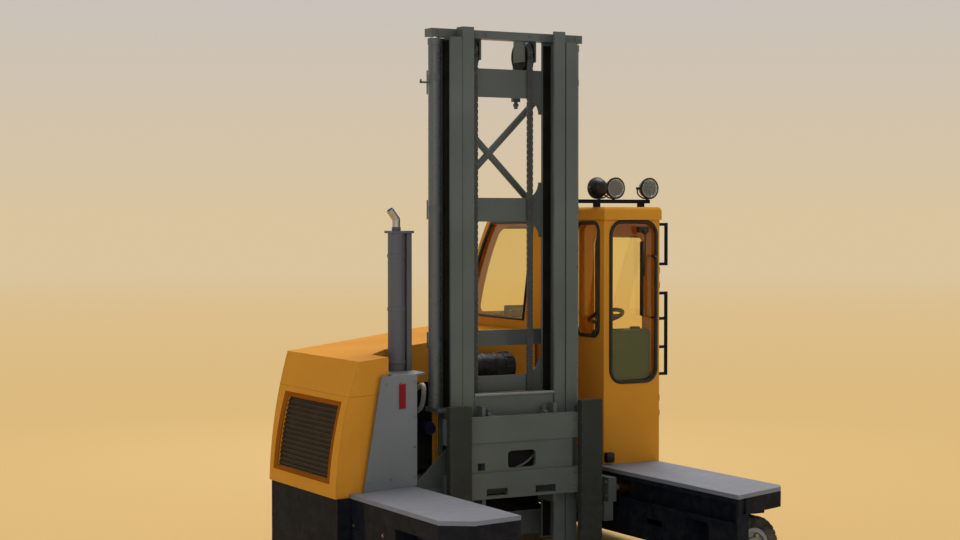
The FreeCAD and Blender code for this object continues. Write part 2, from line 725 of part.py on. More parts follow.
def tailpipe():
    z0 = muffler_top + 14 + seat_gap
    start = (muffler_x, muffler_y, z0)
    knee = (muffler_x, muffler_y, z0 + 70)
    end = (muffler_x - 45, muffler_y, z0 + 130)
    pipe = fuse([rod(start, knee, 24), Part.makeSphere(24, FreeCAD.Vector(*knee)), rod(knee, end, 24)])
    bore = rod((muffler_x - 21, muffler_y, z0 + 98), (muffler_x - 60, muffler_y, z0 + 150), 20)
    return pipe.cut(bore)


def air_filter():
    y = hood_front_wall_y - filter_radius - 14
    z = filter_z
    can = rod((-50, y, z), (260, y, z), filter_radius)
    band = rod((190, y, z), (210, y, z), filter_radius + 5)
    foot = box(40, 240, y + 40, hood_front_wall_y - seat_gap, hood_seam_z - 80, hood_seam_z - 10)
    riser = box(40, 240, y + 40, hood_front_wall_y - 2 * run_gap, hood_seam_z - 11, z - 40)
    return fuse([can, band, foot, riser])


def engine_block():
    return box(-800, 150, 610, 880, deck_under, 1110)


def radiator():
    return box(-1190, -1115, -160, 540, deck_under, 1060)


def cab_profile(inset, foot, x):
    """The cab's side profile as a face, with its curved back above the shoulder."""
    y_front = cab_front_y + inset
    top = cab_roof_z - inset
    rear_low = rear_y - 10 - inset
    rear_high = cab_rear_top_y - inset
    a = FreeCAD.Vector(x, y_front, foot)
    b = FreeCAD.Vector(x, rear_low, foot)
    c = FreeCAD.Vector(x, rear_low, cab_shoulder_z)
    middle = FreeCAD.Vector(x, (rear_low + rear_high) / 2 + 60, (cab_shoulder_z + top) / 2)
    d = FreeCAD.Vector(x, rear_high, top)
    e = FreeCAD.Vector(x, y_front, top)
    edges = [Part.makeLine(a, b), Part.makeLine(b, c), Part.Arc(c, middle, d).toShape(),
             Part.makeLine(d, e), Part.makeLine(e, a)]
    return Part.Face(Part.Wire(edges))


def cab_form(inset, low):
    """The cab's outer form: the profile across its width, with the step beside the mast."""
    face = cab_profile(inset, deck_under + low, cab_left + inset)
    form = face.extrude(FreeCAD.Vector(cab_right - cab_left - 2 * inset, 0, 0))
    step = box(cab_left - 10, cab_nose_left + inset, cab_front_y - 10, cab_step_y + inset,
               deck_under - 10, cab_roof_z + 10)
    return form.cut(step)


front_window = (855.0, 1213.0, 1097.0, 2157.0)
side_window = (150.0, 425.0, 1402.0, 2150.0)
step_window = (590.0, 765.0, 1402.0, 2150.0)
rear_window = (640.0, 1140.0, 1500.0, 2120.0)
door_window = (240.0, 860.0, 1100.0, 2060.0)
door_hinge_spans = ((900.0, 960.0), (1755.0, 1815.0))


def quarter_window(inset, depth):
    """The window in the cab's left wall, whose back edge follows the curved back."""
    low = 1495.0 + inset
    high = 2150.0 - inset
    x = cab_left - 5
    points = [(x, 680 + inset, low), (x, rear_y, low), (x, rear_y, high), (x, 560 + inset, high)]
    leaning = prism(points, (depth + 5, 0, 0))
    follow = cab_profile(42 + inset, deck_under, x).extrude(FreeCAD.Vector(depth + 5, 0, 0))
    return leaning.common(follow)


def window_tools(inset, depth):
    """One cutter per fixed window opening; a pane is the same form, thinner."""
    x0, x1, z0, z1 = front_window
    front = rounded(x0 + inset, x1 - inset, cab_front_y - 5, cab_front_y + depth, z0 + inset, z1 - inset,
                    85, "y")
    y0, y1, z0, z1 = side_window
    side = rounded(cab_nose_left - 5, cab_nose_left + depth, y0 + inset, y1 - inset, z0 + inset, z1 - inset,
                   60, "x")
    x0, x1, z0, z1 = step_window
    step = rounded(x0 + inset, x1 - inset, cab_step_y - 5, cab_step_y + depth, z0 + inset, z1 - inset, 60,
                   "y")
    quarter = quarter_window(inset, depth)
    x0, x1, z0, z1 = rear_window
    rear = rounded(x0 + inset, x1 - inset, cab_rear_top_y - 120, rear_y + 20, z0 + inset, z1 - inset, 60,
                   "y")
    return [front, side, step, quarter, rear]


def door_space(gap):
    return box(cab_right - cab_wall - 10, cab_right + 10, door_front_y - gap, door_back_y + gap,
               door_low_z - gap, door_high_z + gap)


def hinge_knuckle(low, high, side):
    """A short barrel on the door's pin line with its leaf, towards the cab post or the door."""
    x = cab_right + door_pin_out
    y = door_front_y - run_gap
    barrel = rod((x, y, low), (x, y, high), door_pin_radius)
    leaf = box(cab_right - 1, x, y, y + side * 45, low, high)
    return [barrel, leaf]


def cab_body():
    """The cab shell with its window and door openings, and its floor."""
    shell = cab_form(0, 0).cut(cab_form(cab_wall, cab_floor))
    for cutter in window_tools(0, cab_wall + 20):
        shell = shell.cut(cutter)
    head_room = box(cab_left - 5, cab_right + 5, cab_front_y - 5, rear_y, cab_roof_z - cab_wall - seat_gap,
                    cab_roof_z + 5)
    shell = shell.cut(door_space(run_gap)).cut(head_room)
    lugs = []
    for low, high in door_hinge_spans:
        lugs += hinge_knuckle(low - 40, low - seat_gap, -1)
        lugs += hinge_knuckle(high + seat_gap, high + 40, -1)
    return fuse([shell] + lugs)


def cab_glass():
    shell = cab_form(14, 0).cut(cab_form(14 + glass_thick, 0))
    panes = []
    for cutter in window_tools(seat_gap, cab_wall + 20):
        panes += shell.common(cutter).Solids
    return Part.makeCompound(panes)


def cab_roof():
    """The roof cap with its overhang and front visor."""
    low = cab_roof_z - cab_wall
    cap = rounded(cab_left - 15, cab_right + 20, cab_front_y - 25, cab_rear_top_y + 60, low,
                  cab_roof_z + 45, 40, "z")
    step = box(cab_left - 30, cab_nose_left - 15, cab_front_y - 60, cab_step_y - 15, low - 10,
               cab_roof_z + 60)
    cap = cap.cut(step)
    rims = [e for e in cap.Edges if e.BoundBox.ZMin > cab_roof_z + 44]
    return cap.makeFillet(30, rims)


def cab_door():
    """The door leaf on the cab end, as thick as the wall, with its window cut."""
    leaf = cab_form(0, 0).cut(cab_form(cab_wall, cab_floor)).common(door_space(0))
    y0, y1, z0, z1 = door_window
    hole = rounded(cab_right - cab_wall - 10, cab_right + 10, y0, y1, z0, z1, 70, "x")
    hinges = []
    for low, high in door_hinge_spans:
        hinges += hinge_knuckle(low, high, 1)
    handle = rod((cab_right + 30, door_back_y - 60, 1050), (cab_right + 30, door_back_y - 60, 1250), 10)
    feet = [rod((cab_right - 1, door_back_y - 60, z), (cab_right + 30, door_back_y - 60, z),
                10) for z in (1060, 1240)]
    return fuse([leaf.cut(hole), handle] + hinges + feet)


def door_glass():
    y0, y1, z0, z1 = door_window
    gap = seat_gap
    return rounded(cab_right - 20, cab_right - 20 + glass_thick, y0 + gap, y1 - gap, z0 + gap, z1 - gap,
                   70, "x")


def grab_rails():
    """Bent rails on the cab end, beside the door."""
    y = cab_front_y + 22
    x = cab_right + 68
    parts = []
    for low, high, feet in ((1130.0, 1690.0, (1140.0, 1320.0, 1510.0, 1680.0)),
                            (1865.0, 2150.0, (1875.0, 2140.0))):
        parts.append(rod((x, y, low), (x, y, high), 12))
        for z in feet:
            parts.append(rod((cab_right + seat_gap, y, z), (x, y, z), 10))
    rails = fuse(parts)
    return rails


def driver_seat():
    """A plain seat: cushion and backrest in one closed form."""
    cushion = rounded(760, 1160, 880, 1320, 960, 1080, 40, "z")
    back = rounded(760, 1160, 1250, 1350, 1040, 1560, 40, "x")
    return fuse([cushion, back])


def seat_pedestal():
    return box(820, 1100, 930, 1280, floor_top + seat_gap, 960 - seat_gap)


def control_console():
    return rounded(855, 1195, cab_front_y + cab_wall + 5, console_back_y, floor_top + seat_gap, 1440, 30,
                   "x")


def steering_column():
    centre = FreeCAD.Vector(*hand_wheel_centre)
    way = FreeCAD.Vector(*hand_wheel_axis)
    way.normalize()
    start = centre - way * 345
    column = rod(tuple(start), tuple(centre - way * (15 + seat_gap)), 25)
    x = hand_wheel_centre[0]
    return column.cut(box(x - 60, x + 60, cab_front_y, console_back_y + seat_gap, 1000, 1500))


def steering_wheel():
    """Rim, spokes and hub on the tilted column."""
    centre = FreeCAD.Vector(*hand_wheel_centre)
    way = FreeCAD.Vector(*hand_wheel_axis)
    way.normalize()
    ring = Part.makeTorus(hand_wheel_radius, 14, centre + way * 20, way)
    hub = Part.makeCylinder(32, 40, centre - way * 15, way)
    reach = hand_wheel_radius
    spoke = Part.makeBox(2 * reach, 30, 10, FreeCAD.Vector(-reach, -15, -5))
    turn = FreeCAD.Rotation(FreeCAD.Vector(0, 0, 1), way)
    spoke.Placement = FreeCAD.Placement(centre + way * 20, turn)
    return fuse([ring, hub, spoke])


def lamp_bar():
    z = cab_roof_z + 45 + seat_gap
    y = cab_front_y + 120
    bar = box(650, 1235, y - 15, y + 15, z + 25, z + 50)
    feet = [box(x, x + 40, y - 15, y + 15, z, z + 26) for x in (800.0, 1150.0)]
    return fuse([bar] + feet)


def work_lamps():
    """Round work lamps on short stems: two face the load side, one the rear."""
    z0 = cab_roof_z + 95 + 2 * seat_gap
    y = cab_front_y + 120
    lamps = []
    for x, way in ((952.0, -1), (1222.0, -1), (838.0, 1)):
        stem = rod((x, y, z0), (x, y, z0 + 50), 8)
        bowl = Part.makeCone(40, 70, 60, FreeCAD.Vector(x, y - way * 30, z0 + 75), FreeCAD.Vector(0, way, 0))
        lamps.append(fuse([stem, bowl]))
    return Part.makeCompound(lamps)


def reflector():
    """A reflector strip glued to the slanted grey panel."""
    x0 = -855.0
    x1 = -808.0
    gap = seat_gap * math.hypot(1.0, panel_run)
    points = [(x0, panel_y(x0) - gap, 1036), (x1, panel_y(x1) - gap, 1036),
              (x1, panel_y(x1) - gap - 8, 1036),
              (x0, panel_y(x0) - gap - 8, 1036)]
    return prism(points, (0, 0, 149))


parts = {
    "load_arm_left": load_arm(-1),
    "load_arm_right": load_arm(1),
    "platform_left": platform(-1),
    "platform_right": platform(1),
    "panel_base": panel_base(),
    "rear_frame": rear_frame(),
    "engine_block": engine_block(),
    "radiator": radiator(),
    "engine_enclosure": engine_enclosure(),
    "engine_hood": engine_hood(),
    "radiator_grille": radiator_grille(),
    "side_panel": side_panel(),
    "side_reflector": reflector(),
    "muffler": muffler(),
    "tailpipe": tailpipe(),
    "air_filter": air_filter(),
    "cab_body": cab_body(),
    "cab_roof": cab_roof(),
    "cab_glass": cab_glass(),
    "cab_door": cab_door(),
    "door_glass": door_glass(),
    "grab_rails": grab_rails(),
    "driver_seat": driver_seat(),
    "seat_pedestal": seat_pedestal(),
    "control_console": control_console(),
    "steering_column": steering_column(),
    "steering_wheel": steering_wheel(),
    "lamp_bar": lamp_bar(),
    "work_lamps": work_lamps(),
    "reach_frame": reach_frame(),
    "reach_rollers": reach_rollers(),
    "reach_barrels": reach_barrels(),
    "reach_rods": reach_rods(),
    "outer_upright_left": outer_upright(-1),
    "outer_upright_right": outer_upright(1),
    "outer_mast_ties": outer_ties(),
    "lift_barrels": lift_barrels(),
    "inner_upright_left": inner_upright(-1),
    "inner_upright_right": inner_upright(1),
    "inner_mast_plates": inner_plates(),
    "mast_crosshead": crosshead(),
    "chain_sheaves": sheaves(),
    "lift_rods": lift_rods(),
    "chain_rear": chain_runs(sheave_y + sheave_radius + 5, chain_anchor_z),
    "chain_front": chain_runs(sheave_y - sheave_radius - 5, carriage_high + seat_gap),
    "carriage_frame": carriage_frame(),
    "fork_left": fork(-1),
    "fork_right": fork(1),
}

wheel_places = {
    "left": (-load_wheel_x, load_wheel_y, load_tyre_radius, load_tyre_width, load_rim_radius,
             deck_under - 40),
    "right": (load_wheel_x, load_wheel_y, load_tyre_radius, load_tyre_width, load_rim_radius,
              deck_under - 40),
    "rear": (drive_wheel_x, drive_wheel_y, drive_tyre_radius, drive_tyre_width, drive_rim_radius,
             deck_under - 4),
}
for place, (x, y, radius, width, rim_radius, pin_top) in wheel_places.items():
    parts["knuckle_" + place] = knuckle(x, y, radius, width, pin_top, 1)
    parts["tyre_" + place] = tyre(x, y, radius, width, rim_radius)
    parts["rim_" + place] = rim(x, y, radius, width, rim_radius)

os.makedirs("parts", exist_ok=True)
for name, shape in parts.items():
    shape.exportStep("parts/" + name + ".step")
    box_now = shape.BoundBox
    print(name, len(shape.Solids), shape.isValid(), round(shape.Volume / 1e6, 2),
          [round(v) for v in (box_now.XMin, box_now.XMax, box_now.YMin, box_now.YMax, box_now.ZMin,
                              box_now.ZMax)])
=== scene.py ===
import math

import bmesh
import bpy
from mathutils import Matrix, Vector


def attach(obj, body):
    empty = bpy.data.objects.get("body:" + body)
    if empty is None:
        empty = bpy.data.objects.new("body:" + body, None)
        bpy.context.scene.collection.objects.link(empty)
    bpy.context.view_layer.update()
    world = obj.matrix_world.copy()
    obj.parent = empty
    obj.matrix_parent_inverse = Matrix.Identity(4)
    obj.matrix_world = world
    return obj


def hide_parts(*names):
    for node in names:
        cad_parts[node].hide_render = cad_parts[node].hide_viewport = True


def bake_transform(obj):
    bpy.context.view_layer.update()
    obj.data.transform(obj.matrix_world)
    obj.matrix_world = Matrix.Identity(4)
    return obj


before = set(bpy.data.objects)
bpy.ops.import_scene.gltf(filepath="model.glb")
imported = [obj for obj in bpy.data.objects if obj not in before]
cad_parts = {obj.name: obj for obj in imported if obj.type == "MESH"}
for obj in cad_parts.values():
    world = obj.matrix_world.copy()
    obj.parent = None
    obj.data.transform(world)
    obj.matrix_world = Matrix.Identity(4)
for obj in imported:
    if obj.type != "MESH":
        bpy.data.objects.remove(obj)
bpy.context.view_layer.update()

# The camera stands in front of the left load arm, a little under the cab's roof,
# and looks along the truck's load side towards the cab with a long lens.
lens_mm = 70.9
camera_place = (-5.925, -10.366, 2.19)
camera_turn = 29.0
camera_dip = 1.61
camera_data = bpy.data.cameras.new("camera")
camera_data.lens = lens_mm
camera_data.sensor_width = 36.0
camera_data.clip_end = 400.0
camera = bpy.data.objects.new("camera", camera_data)
camera.location = camera_place
camera.rotation_euler = (math.radians(90 - camera_dip), 0, math.radians(-camera_turn))
bpy.context.scene.collection.objects.link(camera)
bpy.context.scene.camera = camera
bpy.context.scene.view_settings.view_transform = "Standard"


# The studio: a sand-coloured floor that fades into a sky of the same colour, which turns grey
# upwards, a wide soft light from above and behind, and two weak lamps for the shaded sides.
def colour(code):
    """Turns an sRGB hex code into a linear colour."""
    parts = [int(code[i:i + 2], 16) / 255 for i in (0, 2, 4)]
    return tuple(p / 12.92 if p <= 0.04045 else ((p + 0.055) / 1.055) ** 2.4 for p in parts) + (1.0,)


def add(tree, kind, links=None, **settings):
    """Adds a node; a number in links sets an input and a socket is joined to it."""
    made = tree.nodes.new(kind)
    for key, value in settings.items():
        setattr(made, key, value)
    for key, value in (links or {}).items():
        if isinstance(value, bpy.types.NodeSocket):
            tree.links.new(value, made.inputs[key])
        else:
            made.inputs[key].default_value = value
    return made


def new_material(name):
    """An empty material and its node tree."""
    material = bpy.data.materials.new(name)
    material.use_nodes = True
    tree = material.node_tree
    tree.nodes.clear()
    return material, tree


sand_near = colour("DDB97A")
sand_far = colour("D9C49E")
sky_high = colour("C9C2BC")
plain_floor = colour("DDDBD6")


def seen_rays(tree):
    """1 for rays that show the background itself, 0 for those that only bring its light."""
    rays = add(tree, "ShaderNodeLightPath")
    seen = add(tree, "ShaderNodeMath", {0: rays.outputs["Is Camera Ray"],
                                        1: rays.outputs["Is Transmission Ray"]}, operation="MAXIMUM")
    return add(tree, "ShaderNodeMath", {0: seen.outputs[0], 1: rays.outputs["Is Glossy Ray"]},
               operation="MAXIMUM").outputs[0]


floor_reach = 150.0
fade_start = 3.5
fade_end = 10.0
paling_start = 4.0
paling_end = 60.0
floor_paint, tree = new_material("studio_floor")
place = add(tree, "ShaderNodeTexCoord")
distance = add(tree, "ShaderNodeVectorMath", {0: place.outputs["Object"]}, operation="LENGTH")
fade = add(tree, "ShaderNodeMapRange", {"Value": distance.outputs["Value"], "From Min": fade_start,
                                        "From Max": fade_end}, interpolation_type="SMOOTHSTEP")
farther = add(tree, "ShaderNodeMapRange", {"Value": distance.outputs["Value"], "From Min": paling_start,
                                           "From Max": paling_end})
sand = add(tree, "ShaderNodeMix", {"Factor": farther.outputs["Result"], "A": sand_near[:3],
                                   "B": sand_far[:3]}, data_type="VECTOR")
sand = add(tree, "ShaderNodeMix", {"Factor": seen_rays(tree), "A": plain_floor[:3], "B": sand.outputs[1]},
           data_type="VECTOR")
paint = add(tree, "ShaderNodeBsdfPrincipled", {"Base Color": sand.outputs[1], "Roughness": 0.85,
                                               "Specular IOR Level": 0.1})
glow = add(tree, "ShaderNodeEmission", {"Color": sand.outputs[1], "Strength": 1.0})
both = add(tree, "ShaderNodeMixShader", {0: fade.outputs["Result"], 1: paint.outputs[0], 2: glow.outputs[0]})
add(tree, "ShaderNodeOutputMaterial", {"Surface": both.outputs[0]})
floor_mesh = bpy.data.meshes.new("studio_floor")
corners = [(-floor_reach, -floor_reach, 0), (floor_reach, -floor_reach, 0), (floor_reach, floor_reach, 0),
           (-floor_reach, floor_reach, 0)]
floor_mesh.from_pydata(corners, [], [(0, 1, 2, 3)])
floor_mesh.materials.append(floor_paint)
floor = bpy.data.objects.new("studio_floor", floor_mesh)
bpy.context.scene.collection.objects.link(floor)

grey_from = 0.12
fill_strength = 0.38
sun_strength = 2.1
sun_width = 40
sun_place = (3.5, 2.5, 9.0)
lamp_aim = (0, 0, 1.2)
world = bpy.data.worlds.new("studio")
bpy.context.scene.world = world
world.use_nodes = True
tree = world.node_tree
tree.nodes.clear()
aim = add(tree, "ShaderNodeTexCoord")
aim = add(tree, "ShaderNodeSeparateXYZ", {0: aim.outputs["Generated"]})
rise = add(tree, "ShaderNodeMapRange", {"Value": aim.outputs["Z"], "From Min": 0.0, "From Max": grey_from})
sky = add(tree, "ShaderNodeMix", {"Factor": rise.outputs["Result"], "A": sand_far[:3], "B": sky_high[:3]},
          data_type="VECTOR")
fill = add(tree, "ShaderNodeBackground", {"Color": colour("F4F0EA"), "Strength": fill_strength})
shown = add(tree, "ShaderNodeBackground", {"Color": sky.outputs[1], "Strength": 1.0})
mix = add(tree, "ShaderNodeMixShader", {0: seen_rays(tree), 1: fill.outputs[0], 2: shown.outputs[0]})
add(tree, "ShaderNodeOutputWorld", {"Surface": mix.outputs[0]})

sun_data = bpy.data.lights.new("overhead", "SUN")
sun_data.energy = sun_strength
sun_data.angle = math.radians(sun_width)
sun = bpy.data.objects.new("overhead", sun_data)
sun.rotation_euler = (-Vector(sun_place)).to_track_quat("-Z", "Y").to_euler()
bpy.context.scene.collection.objects.link(sun)
for name, spot, size, power in (("load_side", (-6.0, -9.0, 5.0), 6.0, 85.0),
                                ("rear_side", (4.0, 10.0, 5.0), 6.0, 160.0)):
    lamp_data = bpy.data.lights.new(name, "AREA")
    lamp_data.shape = "DISK"
    lamp_data.size = size
    lamp_data.energy = power
    lamp = bpy.data.objects.new(name, lamp_data)
    lamp.location = spot
    lamp.rotation_euler = (Vector(lamp_aim) - Vector(spot)).to_track_quat("-Z", "Y").to_euler()
    bpy.context.scene.collection.objects.link(lamp)


# Load arms, rear frame and wheel knuckles: welded steel plate, sprayed in a near-black blue satin
# enamel, as are the grab rails and the lamp bar. Edges have worn to bare primer, and road dust
# lies on the lower parts.
def painted_steel(name, main, worn, roughness=0.42, patch=0.12, dust=0.35, wear=0.5, edge_mm=3.0, coat=0.0,
                  dust_colour="8C8371", peel_mm=5.0, gloss=0.3):
    """Enamel on steel: uneven sheen, dust that thins out upwards, rubbed edges and a fine spray texture."""
    # Grit and spray texture finer than 3 mm would be lost at this distance, so they are drawn at
    # 3 mm and more.
    cloud_mm = 385
    speck_mm = 71.4
    chip_mm = 22.22
    material, tree = new_material(name)
    place = add(tree, "ShaderNodeTexCoord").outputs["Object"]
    cloudy = add(tree, "ShaderNodeTexNoise", {"Vector": place, "Scale": 1000.0 / cloud_mm, "Detail": 4.0})
    tone = add(tree, "ShaderNodeMapRange", {"Value": cloudy.outputs["Fac"], "From Min": 0.3, "From Max": 0.7,
                                            "To Min": 1.0 - patch, "To Max": 1.0 + patch})
    base = add(tree, "ShaderNodeVectorMath", {0: colour(main)[:3], "Scale": tone.outputs["Result"]},
               operation="SCALE")
    height = add(tree, "ShaderNodeSeparateXYZ", {0: place})
    low = add(tree, "ShaderNodeMapRange", {"Value": height.outputs["Z"], "From Min": 0.0, "From Max": 0.9,
                                           "To Min": 1.0, "To Max": 0.12})
    specks = add(tree, "ShaderNodeTexNoise", {"Vector": place, "Scale": 1000.0 / speck_mm, "Detail": 8.0,
                                              "Roughness": 0.65})
    blot = add(tree, "ShaderNodeMapRange", {"Value": specks.outputs["Fac"], "From Min": 0.42,
                                            "From Max": 0.72, "To Max": dust})
    dirt = add(tree, "ShaderNodeMath", {0: low.outputs["Result"], 1: blot.outputs["Result"]},
               operation="MULTIPLY")
    dusty = add(tree, "ShaderNodeMix", {"Factor": dirt.outputs[0], "A": base.outputs[0],
                                        "B": colour(dust_colour)[:3]}, data_type="VECTOR")
    soft = add(tree, "ShaderNodeBevel", {"Radius": edge_mm / 1000}, samples=4)
    flat = add(tree, "ShaderNodeNewGeometry").outputs["Normal"]
    turn = add(tree, "ShaderNodeVectorMath", {0: soft.outputs[0], 1: flat}, operation="DOT_PRODUCT")
    edge = add(tree, "ShaderNodeMapRange", {"Value": turn.outputs["Value"], "From Min": 0.995,
                                            "From Max": 0.86, "To Max": wear})
    chips = add(tree, "ShaderNodeTexNoise", {"Vector": place, "Scale": 1000.0 / chip_mm, "Detail": 6.0,
                                             "Roughness": 0.7})
    broken = add(tree, "ShaderNodeMapRange", {"Value": chips.outputs["Fac"], "From Min": 0.5,
                                              "From Max": 0.6})
    rubbed = add(tree, "ShaderNodeMath", {0: edge.outputs["Result"], 1: broken.outputs["Result"]},
                 operation="MULTIPLY")
    final = add(tree, "ShaderNodeMix", {"Factor": rubbed.outputs[0], "A": dusty.outputs[1],
                                        "B": colour(worn)[:3]}, data_type="VECTOR")
    sheen = add(tree, "ShaderNodeMapRange", {"Value": specks.outputs["Fac"], "From Min": 0.3, "From Max": 0.7,
                                             "To Min": roughness - 0.07, "To Max": roughness + 0.12})
    peel = add(tree, "ShaderNodeTexNoise", {"Vector": place, "Scale": 1000.0 / peel_mm, "Detail": 2.0})
    bump = add(tree, "ShaderNodeBump", {"Height": peel.outputs["Fac"], "Strength": 0.12, "Distance": 0.0006,
                                        "Normal": soft.outputs[0]})
    surface = add(tree, "ShaderNodeBsdfPrincipled", {"Base Color": final.outputs[1],
                                                     "Roughness": sheen.outputs["Result"],
                                                     "Normal": bump.outputs[0], "Coat Weight": coat,
                                                     "Coat Roughness": 0.12, "Specular IOR Level": gloss})
    add(tree, "ShaderNodeOutputMaterial", {"Surface": surface.outputs[0]})
    return material


def dress(material, *names):
    """Gives CAD nodes their material."""
    for name in names:
        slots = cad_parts[name].data.materials
        slots.clear()
        slots.append(material)


chassis_enamel = painted_steel("dark_chassis_enamel", "181C24", "55524E", roughness=0.45, dust=0.09,
                               coat=0.12, gloss=0.0)
dress(chassis_enamel, "load_arm_left", "load_arm_right", "rear_frame", "knuckle_left", "knuckle_right",
      "knuckle_rear", "grab_rails", "lamp_bar")

# Platforms: steel deck plates on the arms, in a light grey grit coating that loads are slid over,
# so long scuffs run across it and the edges are rubbed.
deck_coat = painted_steel("grit_deck_coating", "7C7E87", "A4A29E", roughness=0.62, patch=0.08, dust=0.2,
                          wear=0.8, edge_mm=4.0, peel_mm=3.0)
dress(deck_coat, "platform_left", "platform_right", "panel_base")

# Mast, carriage and reach frame: thick rolled channels and flame-cut plates in cool grey enamel,
# with rubbed corners where rollers and chains run.
mast_enamel = painted_steel("cool_grey_mast_enamel", "5D6461", "8E8F8C", roughness=0.4, dust=0.2, wear=0.6,
                            edge_mm=4.0)
dress(mast_enamel, "outer_upright_left", "outer_upright_right", "outer_mast_ties", "inner_upright_left",
      "inner_upright_right", "inner_mast_plates", "mast_crosshead", "carriage_frame", "reach_frame")

# Barrels of the lift and reach cylinders: drawn steel tube in a like grey, but smoother and
# shinier than the mast's plates.
barrel_enamel = painted_steel("satin_cylinder_enamel", "585D61", "8E8F8C", roughness=0.28, patch=0.05,
                              dust=0.1, gloss=0.6)
dress(barrel_enamel, "lift_barrels", "reach_barrels")

# Forks: forged arms that hook over the carriage's bars, painted dark and scraped towards bare
# steel by pallets.
fork_enamel = painted_steel("scraped_fork_enamel", "3A3C38", "8A8880", roughness=0.5, dust=0.15, wear=1.0,
                            edge_mm=5.0, gloss=0.08)
dress(fork_enamel, "fork_left", "fork_right")

# Engine cover, hood lid and cab shell: folded sheet steel in orange-yellow enamel that has gone
# a little dull, with only light dust.
cover_enamel = painted_steel("orange_yellow_cover_enamel", "DF9834", "7A5A2C", roughness=0.45, patch=0.05,
                             dust=0.16, wear=0.35, edge_mm=9.0, coat=0.03, dust_colour="D09A3C", peel_mm=7.0,
                             gloss=0.0)
dress(cover_enamel, "engine_enclosure", "engine_hood", "cab_body", "cab_roof", "cab_door")

# Side panel beside the engine: sheet steel in plain grey enamel, screwed on over the engine bay
# and rubbed a little paler at its edges.
panel_enamel = painted_steel("grey_panel_enamel", "7C8085", "8A8884", roughness=0.45, patch=0.08, dust=0.2)
dress(panel_enamel, "side_panel")

# Grille at the cooler end: steel slats in the opening of the engine cover. Their brown-black
# colour is painted shade, so that the opening looks deep.
grille_painted_shade = painted_steel("brown_grille_painted_shade", "35291A", "5E5038", roughness=0.55, dust=0.15,
                              edge_mm=1.5, gloss=0.1)
dress(grille_painted_shade, "radiator_grille")

# Engine block and radiator: cast and pressed parts behind the covers, dull and oily. Little more
# than a dark bulk shows past the mast.
cast_iron = painted_steel("oily_cast_iron", "3A3B3C", "6C6A66", roughness=0.6, dust=0.5, edge_mm=6.0,
                          peel_mm=12.0)
dress(cast_iron, "engine_block", "radiator")

# Chain sheaves: black-painted cast iron wheels on pins under the mast's head, rubbed where the
# chains run.
sheave_iron = painted_steel("black_sheave_iron", "0E0F10", "333331", roughness=0.5, dust=0.05, wear=0.3,
                            gloss=0.15)
dress(sheave_iron, "chain_sheaves")

# Exhaust: the upright muffler pot and its shield are rolled sheet steel in heat-proof
# silver-grey paint.
heat_paint = painted_steel("heat_proof_grey_paint", "63646A", "8E8F92", roughness=0.48, dust=0.2)
dress(heat_paint, "muffler")

# Wheel centres: turned castings in light grey paint, bolted to the hubs, with brake and road
# dust all over.
rim_enamel = painted_steel("grey_wheel_enamel", "8A8A8A", "B0AEA8", roughness=0.45, dust=0.5, edge_mm=3.0)
dress(rim_enamel, "rim_left", "rim_right", "rim_rear")


# Moulded plastics and rubber: the seat base, steering parts and air filter are black moulded
# plastic with a fine grain, the console is dark blue-green, and the tyres are solid rubber,
# dusty on the tread.
def moulded(name, main, roughness, grain_mm, dust=0.15, strength=0.25):
    """Moulded plastic or rubber with a fine grain and thin dust."""
    # The real grain is some tenths of a millimetre wide, and is drawn at 1 mm and more so that it
    # shows.
    cloud_mm = 111
    material, tree = new_material(name)
    place = add(tree, "ShaderNodeTexCoord").outputs["Object"]
    cloudy = add(tree, "ShaderNodeTexNoise", {"Vector": place, "Scale": 1000.0 / cloud_mm, "Detail": 6.0,
                                              "Roughness": 0.65})
    dirt = add(tree, "ShaderNodeMapRange", {"Value": cloudy.outputs["Fac"], "From Min": 0.4, "From Max": 0.75,
                                            "To Max": dust})
    base = add(tree, "ShaderNodeMix", {"Factor": dirt.outputs["Result"], "A": colour(main)[:3],
                                       "B": colour("8C8371")[:3]}, data_type="VECTOR")
    grain = add(tree, "ShaderNodeTexNoise", {"Vector": place, "Scale": 1000.0 / grain_mm, "Detail": 3.0})
    soft = add(tree, "ShaderNodeBevel", {"Radius": 0.003}, samples=4)
    bump = add(tree, "ShaderNodeBump", {"Height": grain.outputs["Fac"], "Strength": strength,
                                        "Distance": 0.0008, "Normal": soft.outputs[0]})
    sheen = add(tree, "ShaderNodeMapRange", {"Value": cloudy.outputs["Fac"], "To Min": roughness - 0.06,
                                             "To Max": roughness + 0.1})
    surface = add(tree, "ShaderNodeBsdfPrincipled", {"Base Color": base.outputs[1],
                                                     "Roughness": sheen.outputs["Result"],
                                                     "Normal": bump.outputs[0], "Specular IOR Level": 0.3})
    add(tree, "ShaderNodeOutputMaterial", {"Surface": surface.outputs[0]})
    return material


black_plastic = moulded("black_moulded_plastic", "1D1E1F", 0.45, 1.6)
dress(black_plastic, "seat_pedestal", "steering_column", "steering_wheel", "air_filter", "driver_seat",
      "work_lamps")
green_plastic = moulded("grey_green_console_plastic", "2A6672", 0.5, 2.0, dust=0.03)
dress(green_plastic, "control_console")
tyre_rubber = moulded("solid_tyre_rubber", "1B1B1A", 0.72, 4.0, dust=0.45, strength=0.4)
dress(tyre_rubber, "tyre_left", "tyre_right", "tyre_rear")


